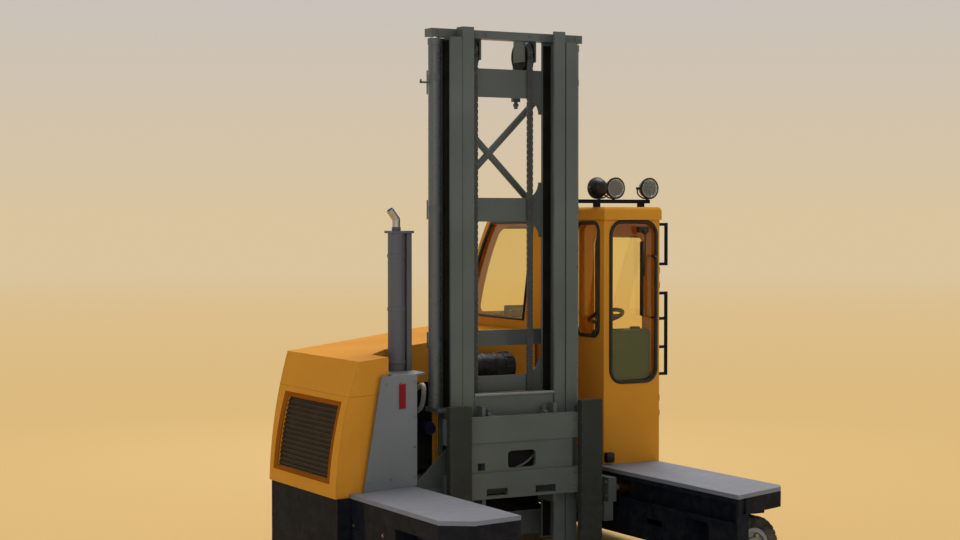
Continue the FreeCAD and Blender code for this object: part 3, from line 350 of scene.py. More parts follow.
# Bare metals: ground chrome on the cylinder rods, worn bronze on the reach rollers and a
# heat-tinted steel exhaust tip. Oil hides the steel of the lift chains, so they are drawn as
# a smooth dark coat.
def bare_metal(name, main, roughness, grain_mm=1.2, tarnish=0.2, dark="3A3733"):
    """Machined metal: fine grinding lines and a little tarnish."""
    # The real grinding lines are finer than a tenth of a millimetre, and are drawn coarser so that
    # they show.
    stain_mm = 40
    material, tree = new_material(name)
    place = add(tree, "ShaderNodeTexCoord").outputs["Object"]
    lines = add(tree, "ShaderNodeTexNoise", {"Vector": place, "Scale": 1000.0 / grain_mm, "Detail": 2.0})
    cloudy = add(tree, "ShaderNodeTexNoise", {"Vector": place, "Scale": 1000.0 / stain_mm, "Detail": 6.0,
                                              "Roughness": 0.7})
    stain = add(tree, "ShaderNodeMapRange", {"Value": cloudy.outputs["Fac"], "From Min": 0.45,
                                             "From Max": 0.75, "To Max": tarnish})
    base = add(tree, "ShaderNodeMix", {"Factor": stain.outputs["Result"], "A": colour(main)[:3],
                                       "B": colour(dark)[:3]}, data_type="VECTOR")
    sheen = add(tree, "ShaderNodeMapRange", {"Value": lines.outputs["Fac"], "To Min": roughness * 0.7,
                                             "To Max": roughness * 1.3})
    bump = add(tree, "ShaderNodeBump", {"Height": lines.outputs["Fac"], "Strength": 0.08, "Distance": 0.0003})
    surface = add(tree, "ShaderNodeBsdfPrincipled", {"Base Color": base.outputs[1],
                                                     "Roughness": sheen.outputs["Result"],
                                                     "Normal": bump.outputs[0], "Metallic": 1.0})
    add(tree, "ShaderNodeOutputMaterial", {"Surface": surface.outputs[0]})
    return material


rod_chrome = bare_metal("ground_hard_chrome", "C9CBCE", 0.14, tarnish=0.08)
dress(rod_chrome, "lift_rods", "reach_rods")
oiled_steel = painted_steel("oiled_chain_steel", "6A6C69", "8A8A86", roughness=0.35, patch=0.2, dust=0.1,
                            wear=0.3, edge_mm=0.5, gloss=0.5)
dress(oiled_steel, "chain_rear", "chain_front")
roller_bronze = bare_metal("worn_bronze", "A9773A", 0.35, tarnish=0.5)
dress(roller_bronze, "reach_rollers")
pipe_chrome = bare_metal("heat_tinted_steel_pipe", "AEB6C2", 0.25, tarnish=0.3, dark="6B5B46")
dress(pipe_chrome, "tailpipe")

# Cab panes: toughened sheet glass with a faint amber tint, smooth and clear, held in rubber
# seals.
amber_glass, tree = new_material("amber_tinted_safety_glass")
surface = add(tree, "ShaderNodeBsdfPrincipled", {"Base Color": colour("FDF0C6"), "Roughness": 0.02,
                                                 "IOR": 1.45, "Transmission Weight": 1.0})
add(tree, "ShaderNodeOutputMaterial", {"Surface": surface.outputs[0]})
dress(amber_glass, "cab_glass", "door_glass")

# Side reflector: pressed red acrylic on the side panel, with a grid of small prisms behind its
# face that break up what it mirrors.
# The real prisms are 2 to 3 mm wide, and are drawn coarser so that they show.
prism_mm = 6.25
red_acrylic, tree = new_material("red_prism_acrylic")
place = add(tree, "ShaderNodeTexCoord").outputs["Object"]
prisms = add(tree, "ShaderNodeTexVoronoi", {"Vector": place, "Scale": 1000.0 / prism_mm, "Randomness": 0.0},
             feature="F1")
bump = add(tree, "ShaderNodeBump", {"Height": prisms.outputs["Distance"], "Strength": 0.5, "Distance": 0.002})
surface = add(tree, "ShaderNodeBsdfPrincipled", {"Base Color": colour("8E0A1E"), "Roughness": 0.3,
                                                 "Specular IOR Level": 0.1, "Normal": bump.outputs[0],
                                                 "Coat Weight": 0.1})
add(tree, "ShaderNodeOutputMaterial", {"Surface": surface.outputs[0]})
dress(red_acrylic, "side_reflector")


# Window seals: extruded black-green rubber beads pressed round each pane. They hold the glass
# in the folded edge of the opening, and shine softly where the light grazes them.
def show(name, mesh, material, body, smooth=None):
    """Shows a finished mesh as a piece that moves with its CAD body, if it has only one."""
    mesh.materials.clear()
    mesh.materials.append(material)
    if smooth:
        mesh.shade_smooth()
        mesh.set_sharp_from_angle(angle=math.radians(smooth))
    piece = bpy.data.objects.new(name, mesh)
    bpy.context.scene.collection.objects.link(piece)
    if body:
        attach(piece, body)
    return piece


def new_rule(name, sizes):
    """An empty geometry tree with its named sizes."""
    tree = bpy.data.node_groups.new(name, "GeometryNodeTree")
    tree.interface.new_socket("Geometry", in_out="INPUT", socket_type="NodeSocketGeometry")
    tree.interface.new_socket("Geometry", in_out="OUTPUT", socket_type="NodeSocketGeometry")
    for label, value in sizes.items():
        kind = "NodeSocketInt" if isinstance(value, int) else "NodeSocketFloat"
        tree.interface.new_socket(label, in_out="INPUT", socket_type=kind).default_value = value
    tree.interface.new_socket("Material", in_out="INPUT", socket_type="NodeSocketMaterial")
    return tree, tree.nodes.new("NodeGroupInput")


def end_rule(tree, given, result):
    """Closes a rule: real meshes, painted."""
    real = add(tree, "GeometryNodeRealizeInstances", {0: result})
    painted = add(tree, "GeometryNodeSetMaterial", {"Geometry": real.outputs[0],
                                                    "Material": given.outputs["Material"]})
    add(tree, "NodeGroupOutput", {0: painted.outputs[0]})


def grow(name, rule, points, edges, ways, sizes, material, body, smooth=35):
    """Runs a rule over points, with its way out at each, and makes of it one plain mesh for one body."""
    seed = bpy.data.meshes.new(name + "_points")
    seed.from_pydata([tuple(p) for p in points], edges, [])
    if ways:
        way = seed.attributes.new("way", "FLOAT_VECTOR", "POINT")
        for i, value in enumerate(ways):
            way.data[i].vector = value
    base = bpy.data.objects.new(name + "_base", seed)
    bpy.context.scene.collection.objects.link(base)
    modifier = base.modifiers.new("rule", "NODES")
    modifier.node_group = rule
    for item in rule.interface.items_tree:
        if item.in_out == "INPUT" and item.name in sizes:
            modifier[item.identifier] = sizes[item.name]
        if item.in_out == "INPUT" and item.name == "Material":
            modifier[item.identifier] = material
    mesh = bpy.data.meshes.new_from_object(base.evaluated_get(bpy.context.evaluated_depsgraph_get()))
    base.modifiers.remove(modifier)
    bpy.data.objects.remove(base)
    return show(name, mesh, material, body, smooth)


def outline(a0, a1, b0, b1, radius, steps=6):
    """A rounded rectangle as a closed list of points."""
    points = []
    for ca, cb, start in ((a1 - radius, b1 - radius, 0), (a0 + radius, b1 - radius, 90),
                          (a0 + radius, b0 + radius, 180), (a1 - radius, b0 + radius, 270)):
        for k in range(steps + 1):
            angle = math.radians(start + 90 * k / steps)
            points.append((ca + radius * math.cos(angle), cb + radius * math.sin(angle)))
    return points


cab_back_y, cab_knee_z = 1.53, 1.45
cab_roof_y, cab_roof_z = 1.15, 2.21
cab_back_swell = 0.06


def back_curve(z, inset=0.0):
    """The y of the cab's back at height z: upright to the knee, then an arc up to the roof's edge."""
    if z <= cab_knee_z:
        return cab_back_y - inset
    ax, ay = cab_back_y - inset, cab_knee_z
    bx, by = (cab_back_y + cab_roof_y) / 2 - inset + cab_back_swell, (cab_knee_z + cab_roof_z - inset) / 2
    cx, cy = cab_roof_y - inset, cab_roof_z - inset
    aa, bb, cc = ax ** 2 + ay ** 2, bx ** 2 + by ** 2, cx ** 2 + cy ** 2
    d = 2 * (ax * (by - cy) + bx * (cy - ay) + cx * (ay - by))
    ux = (aa * (by - cy) + bb * (cy - ay) + cc * (ay - by)) / d
    uy = (aa * (cx - bx) + bb * (ax - cx) + cc * (bx - ax)) / d
    return ux + math.sqrt(max((ax - ux) ** 2 + (ay - uy) ** 2 - (z - uy) ** 2, 0.0))


bead_radius, bead_sides = 0.0125, 12
seal_rule, given = new_rule("pressed_rubber_seal", {"Bead Radius": bead_radius, "Bead Sides": bead_sides})
line = add(seal_rule, "GeometryNodeMeshToCurve", {0: given.outputs["Geometry"]})
bead = add(seal_rule, "GeometryNodeCurvePrimitiveCircle", {"Resolution": given.outputs["Bead Sides"],
                                                           "Radius": given.outputs["Bead Radius"]})
swept = add(seal_rule, "GeometryNodeCurveToMesh", {"Curve": line.outputs[0],
                                                   "Profile Curve": bead.outputs[0]})
end_rule(seal_rule, given, swept.outputs[0])
seal_rubber = moulded("black_green_seal_rubber", "1A2324", 0.4, 1.2, dust=0.08)
quarter_x, quarter_inset = 0.54, 0.042
quarter_foot, quarter_step, quarter_top = 1.497, 0.0653, 2.149
quarter_heights = [quarter_foot + k * quarter_step for k in range(11)]
quarter = [(quarter_x, 0.69, quarter_foot)]
quarter += [(quarter_x, back_curve(z, quarter_inset), z) for z in quarter_heights]
quarter += [(quarter_x, 0.56, quarter_top)]
door_glass_box = (0.24, 0.86, 1.10, 2.06)
# Each edge lies in its pane's plane, and the numbers are the opening's two sides, its foot and
# top, and the radius of its corners.
windows = {
    "chassis": [[(a, 0.089, b) for a, b in outline(0.855, 1.213, 1.097, 2.157, 0.085)],
                [(0.799, a, b) for a, b in outline(0.150, 0.425, 1.402, 2.150, 0.06)],
                [(a, 0.459, b) for a, b in outline(0.590, 0.765, 1.402, 2.150, 0.06)],
                [(a, back_curve(b), b) for a, b in outline(0.64, 1.14, 1.5, 2.12, 0.06, 10)],
                quarter],
    "door": [[(1.241, a, b) for a, b in outline(*door_glass_box, 0.07)]],
}
for body, loops in windows.items():
    points = []
    edges = []
    for loop in loops:
        first = len(points)
        points += loop
        edges += [(first + i, first + (i + 1) % len(loop)) for i in range(len(loop))]
    grow("window_seals_" + body, seal_rule, points, edges, None,
         {"Bead Radius": bead_radius, "Bead Sides": bead_sides}, seal_rubber, body)


# Front wiper and grips: a wiper motor at the top of the front pane with a sprung arm and a rubber
# blade, and a plastic-coated grip bar beside it, all screwed to the cab's front post.
def put_block(work, low, high, round_off=0.0):
    """Adds a box, its edges rounded."""
    made = bmesh.ops.create_cube(work, size=1.0)["verts"]
    for vert in made:
        vert.co = Vector([(a + b) / 2 + c * (b - a) for a, b, c in zip(low, high, vert.co)])
    if round_off:
        edges = list(dict.fromkeys(edge for vert in made for edge in vert.link_edges))
        bmesh.ops.bevel(work, geom=edges, offset=round_off, segments=2, affect="EDGES", profile=0.5)


def put_turned(work, profile, centre, way, steps=32):
    """Adds a turned form: profile lists the distance along way and the radius there."""
    turn = Vector(way).to_track_quat("Z", "Y")
    rings = []
    for along, radius in profile:
        ring = []
        for i in range(steps):
            angle = 2 * math.pi * i / steps
            place = Vector((radius * math.cos(angle), radius * math.sin(angle), along))
            ring.append(work.verts.new(Vector(centre) + turn @ place))
        rings.append(ring)
    for one, two in zip(rings, rings[1:]):
        for i in range(steps):
            work.faces.new((one[i], one[(i + 1) % steps], two[(i + 1) % steps], two[i]))
    work.faces.new(list(reversed(rings[0])))
    work.faces.new(rings[-1])


def put_tube(work, path, radius, steps=12):
    """Adds a round tube along the points, closed at both ends."""
    points = [Vector(p) for p in path]
    side = None
    rings = []
    for i, point in enumerate(points):
        way = (points[min(i + 1, len(points) - 1)] - points[max(i - 1, 0)]).normalized()
        if side is None:
            side = way.orthogonal().normalized()
        side = (side - way * side.dot(way)).normalized()
        other = way.cross(side)
        rings.append([work.verts.new(point + radius * (math.cos(2 * math.pi * k / steps) * side
                                                       + math.sin(2 * math.pi * k / steps) * other))
                      for k in range(steps)])
    for one, two in zip(rings, rings[1:]):
        for k in range(steps):
            work.faces.new((one[k], one[(k + 1) % steps], two[(k + 1) % steps], two[k]))
    work.faces.new(list(reversed(rings[0])))
    work.faces.new(rings[-1])


def eased(points, steps=6):
    """A smooth line through the points."""
    points = [Vector(p) for p in points]
    line = []
    for i in range(len(points) - 1):
        a = points[max(i - 1, 0)]
        b = points[i]
        c = points[i + 1]
        d = points[min(i + 2, len(points) - 1)]
        for k in range(steps):
            t = k / steps
            line.append(0.5 * (2 * b + (c - a) * t + (2 * a - 5 * b + 4 * c - d) * t * t
                               + (3 * b - a - 3 * c + d) * t ** 3))
    return line + [points[-1]]


def piece(name, work, material, body, smooth=35, finish=None):
    """Turns the working mesh into a piece, its faces set outwards."""
    bmesh.ops.recalc_face_normals(work, faces=work.faces)
    mesh = bpy.data.meshes.new(name)
    work.to_mesh(mesh)
    work.free()
    return show(name, mesh, material, body, smooth)


black_satin = moulded("black_powder_coat", "161718", 0.38, 1.0, dust=0.1)
work = bmesh.new()
put_block(work, (1.055, 0.055, 2.085), (1.135, 0.092, 2.125), 0.006)
put_turned(work, [(0, 0.014), (0.018, 0.014), (0.022, 0.01)], (1.095, 0.058, 2.088), (0, -1, 0), 20)
put_tube(work, [(1.095, 0.045, 2.088), (1.094, 0.042, 1.98), (1.092, 0.052, 1.80)], 0.005)
put_block(work, (1.086, 0.062, 1.53), (1.098, 0.076, 2.03), 0.003)
put_block(work, (1.089, 0.073, 1.535), (1.095, 0.099, 2.025), 0.001)
put_tube(work, eased([(1.182, 0.09, 1.52), (1.182, 0.052, 1.53), (1.182, 0.045, 1.56), (1.182, 0.045, 1.89),
                      (1.182, 0.052, 1.92), (1.182, 0.09, 1.93)]), 0.009)
put_block(work, (0.802, 0.045, 0.575), (0.862, 0.089, 0.64), 0.008)
piece("front_wiper_and_grip", work, black_satin, "chassis")

# Work lamps: pressed steel bowls on forked stems, each with a black rim, a silvered reflector with
# its bulb holder, and a ribbed glass lens held by the rim.
lamp_y, lamp_z = 0.21, 2.3806
rib_mm = 9.24
# A wave texture has its bands pi / (10 * scale) metres apart, which is 100 * pi / scale in mm.
wave_mm = 100 * math.pi
lens_glass, tree = new_material("ribbed_lamp_glass")
place = add(tree, "ShaderNodeTexCoord").outputs["Object"]
ribs = add(tree, "ShaderNodeTexWave", {"Vector": place, "Scale": wave_mm / rib_mm}, wave_type="BANDS",
           bands_direction="X")
bump = add(tree, "ShaderNodeBump", {"Height": ribs.outputs["Fac"], "Strength": 0.25, "Distance": 0.001})
surface = add(tree, "ShaderNodeBsdfPrincipled", {"Base Color": colour("EDF0F0"), "Roughness": 0.04,
                                                 "IOR": 1.3, "Normal": bump.outputs[0],
                                                 "Transmission Weight": 0.9})
add(tree, "ShaderNodeOutputMaterial", {"Surface": surface.outputs[0]})
mirror_silver = bare_metal("silvered_reflector", "D4D6D8", 0.12, tarnish=0.1)
lamps = ((0.952, -1), (1.222, -1), (0.838, 1))
bowls = bmesh.new()
mirrors = bmesh.new()
lenses = bmesh.new()
for x, way in lamps:
    middle = (x, lamp_y, lamp_z)
    put_turned(bowls, [(-0.05, 0.012), (-0.048, 0.026), (-0.036, 0.045), (-0.014, 0.06), (0.012, 0.068),
                       (0.022, 0.069), (0.022, 0.05)], middle, (0, way, 0), 40)
    put_turned(mirrors, [(-0.01, 0.006), (-0.004, 0.03), (0.012, 0.055), (0.028, 0.0605), (0.03, 0.0605),
                         (0.03, 0.056), (0.016, 0.044), (0.004, 0.026), (-0.002, 0.008), (0.012, 0.008),
                         (0.014, 0.004)], middle, (0, way, 0), 40)
    put_turned(bowls, [(0.018, 0.066), (0.022, 0.0725), (0.03, 0.0725), (0.034, 0.069), (0.034, 0.061),
                       (0.02, 0.0612)], middle, (0, way, 0), 40)
    put_turned(lenses, [(0.0305, 0.0605), (0.0325, 0.0605), (0.036, 0.045), (0.038, 0.02), (0.0385, 0.003)],
               middle, (0, way, 0), 40)
    put_block(bowls, (x - 0.008, 0.2, 2.3056), (x + 0.008, 0.22, 2.322), 0.002)
    put_tube(bowls, eased([(x - 0.078, lamp_y, 2.385), (x - 0.076, lamp_y, 2.345), (x - 0.04, lamp_y, 2.318),
                           (x, lamp_y, 2.314), (x + 0.04, lamp_y, 2.318), (x + 0.076, lamp_y, 2.345),
                           (x + 0.078, lamp_y, 2.385)]), 0.005)
    for side in (-1, 1):
        put_turned(bowls, [(0, 0.009), (0.02, 0.009)], (x + side * 0.066, lamp_y, lamp_z), (side, 0, 0), 12)
bowl_piece = piece("lamp_bowls", bowls, black_satin, "chassis", finish="lamp_body")
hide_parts("work_lamps")
piece("lamp_reflectors", mirrors, mirror_silver, "chassis")
piece("lamp_lenses", lenses, lens_glass, "chassis")

# Screws and nuts: zinc-plated or overpainted hexagon heads on washers, wherever plates and panels
# are bolted on. The wheels have a ring of six nuts round a turned cap.
flats_to_corner = 0.577
washer_depth, washer_middle, head_foot = 0.0025, 0.0012, 0.002
bolt_rule, given = new_rule("hexagon_heads", {"Across": 0.017, "Height": 0.007, "Washer": 0.012})
half = add(bolt_rule, "ShaderNodeMath", {0: given.outputs["Across"], 1: flats_to_corner},
           operation="MULTIPLY")
head = add(bolt_rule, "GeometryNodeMeshCylinder", {"Vertices": 6, "Radius": half.outputs[0],
                                                   "Depth": given.outputs["Height"]})
lift = add(bolt_rule, "ShaderNodeMath", {0: given.outputs["Height"], 1: 0.5}, operation="MULTIPLY")
lift = add(bolt_rule, "ShaderNodeMath", {0: lift.outputs[0], 1: head_foot}, operation="ADD")
lift = add(bolt_rule, "ShaderNodeCombineXYZ", {"Z": lift.outputs[0]})
head = add(bolt_rule, "GeometryNodeTransform", {"Geometry": head.outputs[0], "Translation": lift.outputs[0]})
disc = add(bolt_rule, "GeometryNodeMeshCylinder", {"Vertices": 20, "Radius": given.outputs["Washer"],
                                                   "Depth": washer_depth})
disc = add(bolt_rule, "GeometryNodeTransform", {"Geometry": disc.outputs[0],
                                                "Translation": (0.0, 0.0, washer_middle)})
bolt = bolt_rule.nodes.new("GeometryNodeJoinGeometry")
bolt_rule.links.new(head.outputs[0], bolt.inputs[0])
bolt_rule.links.new(disc.outputs[0], bolt.inputs[0])
way = add(bolt_rule, "GeometryNodeInputNamedAttribute", {"Name": "way"}, data_type="FLOAT_VECTOR")
turn = add(bolt_rule, "FunctionNodeAlignRotationToVector", {"Vector": way.outputs[0]}, axis="Z")
set_out = add(bolt_rule, "GeometryNodeInstanceOnPoints", {"Points": given.outputs["Geometry"],
                                                          "Instance": bolt.outputs[0],
                                                          "Rotation": turn.outputs[0]})
end_rule(bolt_rule, given, set_out.outputs[0])
zinc = bare_metal("dull_zinc_plate", "8D8D88", 0.38, tarnish=0.4)
panel_foot_x, panel_foot_y, panel_slope = -1.128, -0.305, 0.30843
panel_way = (0.2947, -0.9555, 0.0)


def panel_y(x):
    """The y of the side panel's face at x."""
    return panel_foot_y + panel_slope * (x - panel_foot_x)


arm_side_x, skirt_y, cab_front_y = 1.22, 1.54, 0.46
cylinder_x, cylinder_foot_y, cylinder_foot_z = 0.5, -0.13, 0.998
tie_x, tie_y, guide_x = 0.41, 0.18, 0.64
carriage_x, carriage_y = 0.37, -0.2397
plate_x, plate_y = 0.335, 0.0523
crosshead_y, crosshead_z = -0.045, 3.325
heads = {"chassis": [], "reach": [], "carriage": [], "inner_mast": []}
panel_screws = [((x, panel_y(x), z), panel_way) for x, z in ((-0.73, 0.62), (-0.73, 0.8), (-0.73, 0.98),
                                                             (-0.73, 1.19), (-1.1, 0.62), (-0.92, 0.62),
                                                             (-0.955, 1.19), (-0.84, 1.19))]
for side in (-1, 1):
    for y in (-0.75, -0.35, 0.05, 0.45):
        for z in (0.2, 0.38):
            heads["chassis"].append(((side * arm_side_x, y, z), (side, 0, 0)))
for x in (0.35, 0.6, 0.85, 1.1):
    for z in (0.24, 0.48):
        heads["chassis"].append(((x, skirt_y, z), (0, 1, 0)))
for x in (0.575, 0.785):
    for z in (0.64, 1.2):
        heads["chassis"].append(((x, cab_front_y, z), (0, -1, 0)))
for side in (-1, 1):
    for z in (2.99, 3.075, 2.2, 2.27, 1.385, 1.445, 0.17, 0.25):
        heads["reach"].append(((side * tie_x, tie_y, z), (0, -1, 0)))
    for offset in (-0.03, 0.03):
        heads["reach"].append(((side * cylinder_x + offset, cylinder_foot_y, cylinder_foot_z), (0, -1, 0)))
    for y, z in ((-0.19, 0.49), (-0.19, 0.40), (0.1, 0.40), (0.1, 0.49)):
        heads["reach"].append(((side * guide_x, y, z), (-side, 0, 0)))
    for z in (0.48, 0.585, 0.83, 0.92):
        heads["carriage"].append(((side * carriage_x, carriage_y, z), (0, -1, 0)))
    for z in (2.98, 3.085, 2.19, 2.28, 1.11, 1.16):
        heads["inner_mast"].append(((side * plate_x, plate_y, z), (0, 1, 0)))
    for x in (0.5, 0.24, 0.16):
        heads["inner_mast"].append(((side * x, crosshead_y, crosshead_z), (0, -1, 0)))
grow("panel_screws", bolt_rule, [s[0] for s in panel_screws], [], [s[1] for s in panel_screws],
     {"Across": 0.013, "Height": 0.004, "Washer": 0.009}, panel_enamel, "chassis")
for body, spots in heads.items():
    grow("hexagon_heads_" + body, bolt_rule, [s[0] for s in spots], [], [s[1] for s in spots],
         {"Across": 0.017, "Height": 0.007, "Washer": 0.0125}, zinc if body == "chassis" else mast_enamel,
         body)
nut_inset, cap_inset = 0.03, 0.008
for place, x, y, z, reach in (("left", -1.05, -1.2, 0.19, 0.074), ("right", 1.05, -1.2, 0.19, 0.074),
                              ("rear", 0.16, 0.97, 0.228, 0.086)):
    angles = [math.radians(60 * k) for k in range(6)]
    spots = [(x + reach * math.cos(a), y + nut_inset, z + reach * math.sin(a)) for a in angles]
    grow("wheel_nuts_" + place, bolt_rule, spots, [], [(0, -1, 0)] * 6,
         {"Across": 0.022, "Height": 0.013, "Washer": 0.014}, zinc, "road_wheel_" + place)
    work = bmesh.new()
    put_turned(work, [(0, 0.034), (0.006, 0.034), (0.01, 0.028), (0.012, 0.01)], (x, y + cap_inset, z),
               (0, -1, 0), 28)
    piece("hub_cap_" + place, work, rim_enamel, "road_wheel_" + place, finish="rim_paint")


# Tyres: solid rubber bands pressed on the wheel centres. A block tread is moulded round each, its
# lugs staggered over the middle, and the side walls round in to the rim.
def put_loft(work, sections):
    """Adds a closed form through sections that have the same number of points."""
    rings = [[work.verts.new(point) for point in section] for section in sections]
    for one, two in zip(rings, rings[1:]):
        for k in range(len(one)):
            work.faces.new((one[k], one[(k + 1) % len(one)], two[(k + 1) % len(one)], two[k]))
    work.faces.new(list(reversed(rings[0])))
    work.faces.new(rings[-1])


def node_box(name):
    """Both corners of the box round a CAD node."""
    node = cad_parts[name]
    spots = [node.matrix_world @ Vector(corner) for corner in node.bound_box]
    low = Vector([min(s[i] for s in spots) for i in range(3)])
    high = Vector([max(s[i] for s in spots) for i in range(3)])
    return low, high


press_gap = 0.0003
tread_depth = 0.008
tread_round = 0.012
wall_top = 0.03
wall_steps = 90
lug_root = 0.003
lug_pitch = 12
lug_angle = 8.4
lug_stagger = 0.25
lug_steps = 3
for place in ("left", "right", "rear"):
    low, high = node_box("tyre_" + place)
    inner_low, inner_high = node_box("rim_" + place)
    middle = (low + high) / 2
    half = (high.y - low.y) / 2
    outer = (high.z - low.z) / 2
    bore = (inner_high.z - inner_low.z) / 2 + press_gap
    floor_of_tread = outer - tread_depth
    work = bmesh.new()
    wall = [(half, bore), (half, outer - wall_top), (half - 0.004, outer - 0.018),
            (half - tread_round, floor_of_tread)]
    wall = [(-along, r) for along, r in wall] + wall[::-1]
    rings = []
    for k in range(wall_steps):
        a = math.radians(360 / wall_steps * k)
        ring = [middle + Vector((r * math.cos(a), along, r * math.sin(a))) for along, r in wall]
        rings.append([work.verts.new(point) for point in ring])
    for k in range(wall_steps):
        one, two = rings[k], rings[(k + 1) % wall_steps]
        for i in range(len(wall)):
            j = (i + 1) % len(wall)
            work.faces.new((one[i], one[j], two[j], two[i]))
    for side in (-1, 1):
        lug = [(side * 0.005, floor_of_tread - lug_root), (side * 0.006, outer),
               (side * (half - tread_round), outer), (side * (half - 0.002), outer - 0.012),
               (side * (half - 0.002), outer - 0.028), (side * (half - 0.016), floor_of_tread - lug_root)]
        for k in range(360 // lug_pitch):
            start = lug_pitch * (k + lug_stagger * side)
            sections = []
            for t in range(lug_steps + 1):
                a = math.radians(start + lug_angle * t / lug_steps)
                sections.append([middle + Vector((r * math.cos(a), along, r * math.sin(a)))
                                 for along, r in lug])
            put_loft(work, sections)
    tyre = piece("treaded_tyre_" + place, work, tyre_rubber, "road_wheel_" + place, smooth=30)
    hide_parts("tyre_" + place)

# Lift chains: leaf chain of stamped steel plates on riveted pins, dark with oil. The front run
# lifts the carriage over a sheave, and the rear end is held by the fixed mast.
link_pitch = 0.019
plate_step = 0.0104
first_plate_x = -0.0182
pin_radius = 0.0032
pin_length = 0.0375
chain_rule, given = new_rule("leaf_chain_pair", {"Pitch": link_pitch, "Plate Width": 0.0165,
                                                 "Plate Thickness": 0.0026, "Plate Step": plate_step,
                                                 "Plates": 4})
size = add(chain_rule, "ShaderNodeCombineXYZ", {"X": given.outputs["Plate Thickness"],
                                                "Y": given.outputs["Plate Width"],
                                                "Z": given.outputs["Pitch"]})
flat = add(chain_rule, "GeometryNodeMeshCube", {"Size": size.outputs[0]})
end_radius = add(chain_rule, "ShaderNodeMath", {0: given.outputs["Plate Width"], 1: 0.5},
                 operation="MULTIPLY")
end_disc = add(chain_rule, "GeometryNodeMeshCylinder", {"Vertices": 10, "Radius": end_radius.outputs[0],
                                                        "Depth": given.outputs["Plate Thickness"]})
half_pitch = add(chain_rule, "ShaderNodeMath", {0: given.outputs["Pitch"], 1: 0.5}, operation="MULTIPLY")
lower = add(chain_rule, "ShaderNodeMath", {0: half_pitch.outputs[0], 1: -1.0}, operation="MULTIPLY")
parts_of_plate = chain_rule.nodes.new("GeometryNodeJoinGeometry")
chain_rule.links.new(flat.outputs[0], parts_of_plate.inputs[0])
pins = chain_rule.nodes.new("GeometryNodeJoinGeometry")
pin = add(chain_rule, "GeometryNodeMeshCylinder", {"Vertices": 8, "Radius": pin_radius, "Depth": pin_length})
quarter_turn = (0.0, math.pi / 2, 0.0)
for at in (lower, half_pitch):
    spot = add(chain_rule, "ShaderNodeCombineXYZ", {"Z": at.outputs[0]})
    moved = add(chain_rule, "GeometryNodeTransform", {"Geometry": end_disc.outputs[0],
                                                      "Translation": spot.outputs[0],
                                                      "Rotation": quarter_turn})
    chain_rule.links.new(moved.outputs[0], parts_of_plate.inputs[0])
    moved = add(chain_rule, "GeometryNodeTransform", {"Geometry": pin.outputs[0],
                                                      "Translation": spot.outputs[0],
                                                      "Rotation": quarter_turn})
    chain_rule.links.new(moved.outputs[0], pins.inputs[0])
step = add(chain_rule, "ShaderNodeCombineXYZ", {"X": given.outputs["Plate Step"]})
row = add(chain_rule, "GeometryNodeMeshLine", {"Count": given.outputs["Plates"],
                                               "Start Location": (first_plate_x, 0.0, 0.0),
                                               "Offset": step.outputs[0]})
row = add(chain_rule, "GeometryNodeInstanceOnPoints", {"Points": row.outputs[0],
                                                       "Instance": parts_of_plate.outputs[0]})
shift = add(chain_rule, "ShaderNodeCombineXYZ", {"X": plate_step / 2, "Z": given.outputs["Pitch"]})
odd = add(chain_rule, "GeometryNodeTransform", {"Geometry": row.outputs[0], "Translation": shift.outputs[0]})
chain_rule.links.new(row.outputs[0], pins.inputs[0])
chain_rule.links.new(odd.outputs[0], pins.inputs[0])
way = add(chain_rule, "GeometryNodeInputNamedAttribute", {"Name": "way"}, data_type="FLOAT_VECTOR")
turn = add(chain_rule, "FunctionNodeAlignRotationToVector", {"Vector": way.outputs[0]}, axis="Z")
set_out = add(chain_rule, "GeometryNodeInstanceOnPoints", {"Points": given.outputs["Geometry"],
                                                           "Instance": pins.outputs[0],
                                                           "Rotation": turn.outputs[0]})
end_rule(chain_rule, given, set_out.outputs[0])
sheave_y, sheave_z, chain_bend = 0.118, 3.214, 0.089
chain_x, front_anchor_z, rear_anchor_z = 0.2, 0.9583, 2.99
double_link = 2 * link_pitch
front_y, rear_y = sheave_y - chain_bend, sheave_y + chain_bend


def straight_run(name, x, y, foot):
    """A run of double links from its anchor at height foot up to the sheave."""
    run = [(x, y, foot + link_pitch / 2 + double_link * k)
           for k in range(int((sheave_z - foot) / double_link))]
    return grow(name, chain_rule, run, [], [(0, 0, 1)] * len(run), {}, oiled_steel, None, smooth=0)


turn_step = double_link / chain_bend
first_turn = 0.3
for side, place in ((-1, "left"), (1, "right")):
    x = side * chain_x
    front = straight_run("front_chain_" + place, x, front_y, front_anchor_z)
    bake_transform(front)
    arc = [math.pi - turn_step * (k + first_turn) for k in range(int(math.pi / turn_step))]
    run = [(x, sheave_y + chain_bend * math.cos(a), sheave_z + chain_bend * math.sin(a)) for a in arc]
    ways = [(0, math.sin(a), -math.cos(a)) for a in arc]
    grow("sheave_chain_" + place, chain_rule, run, [], ways, {}, oiled_steel, "inner_mast", smooth=0)
    rear = straight_run("rear_chain_" + place, x, rear_y, rear_anchor_z)
    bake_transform(rear)
    if side < 0:
        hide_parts("chain_front")
        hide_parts("chain_rear")


# Mast fittings: hydraulic pipes clamped to the lift cylinders, chain anchor bolts with nuts, and
# the carriage's welded stops, shelf edge and fork locking pins.
def span(side, near, far):
    """Both ends of a stretch of x that is mirrored with side, the lower one first."""
    return sorted((side * near, side * far))


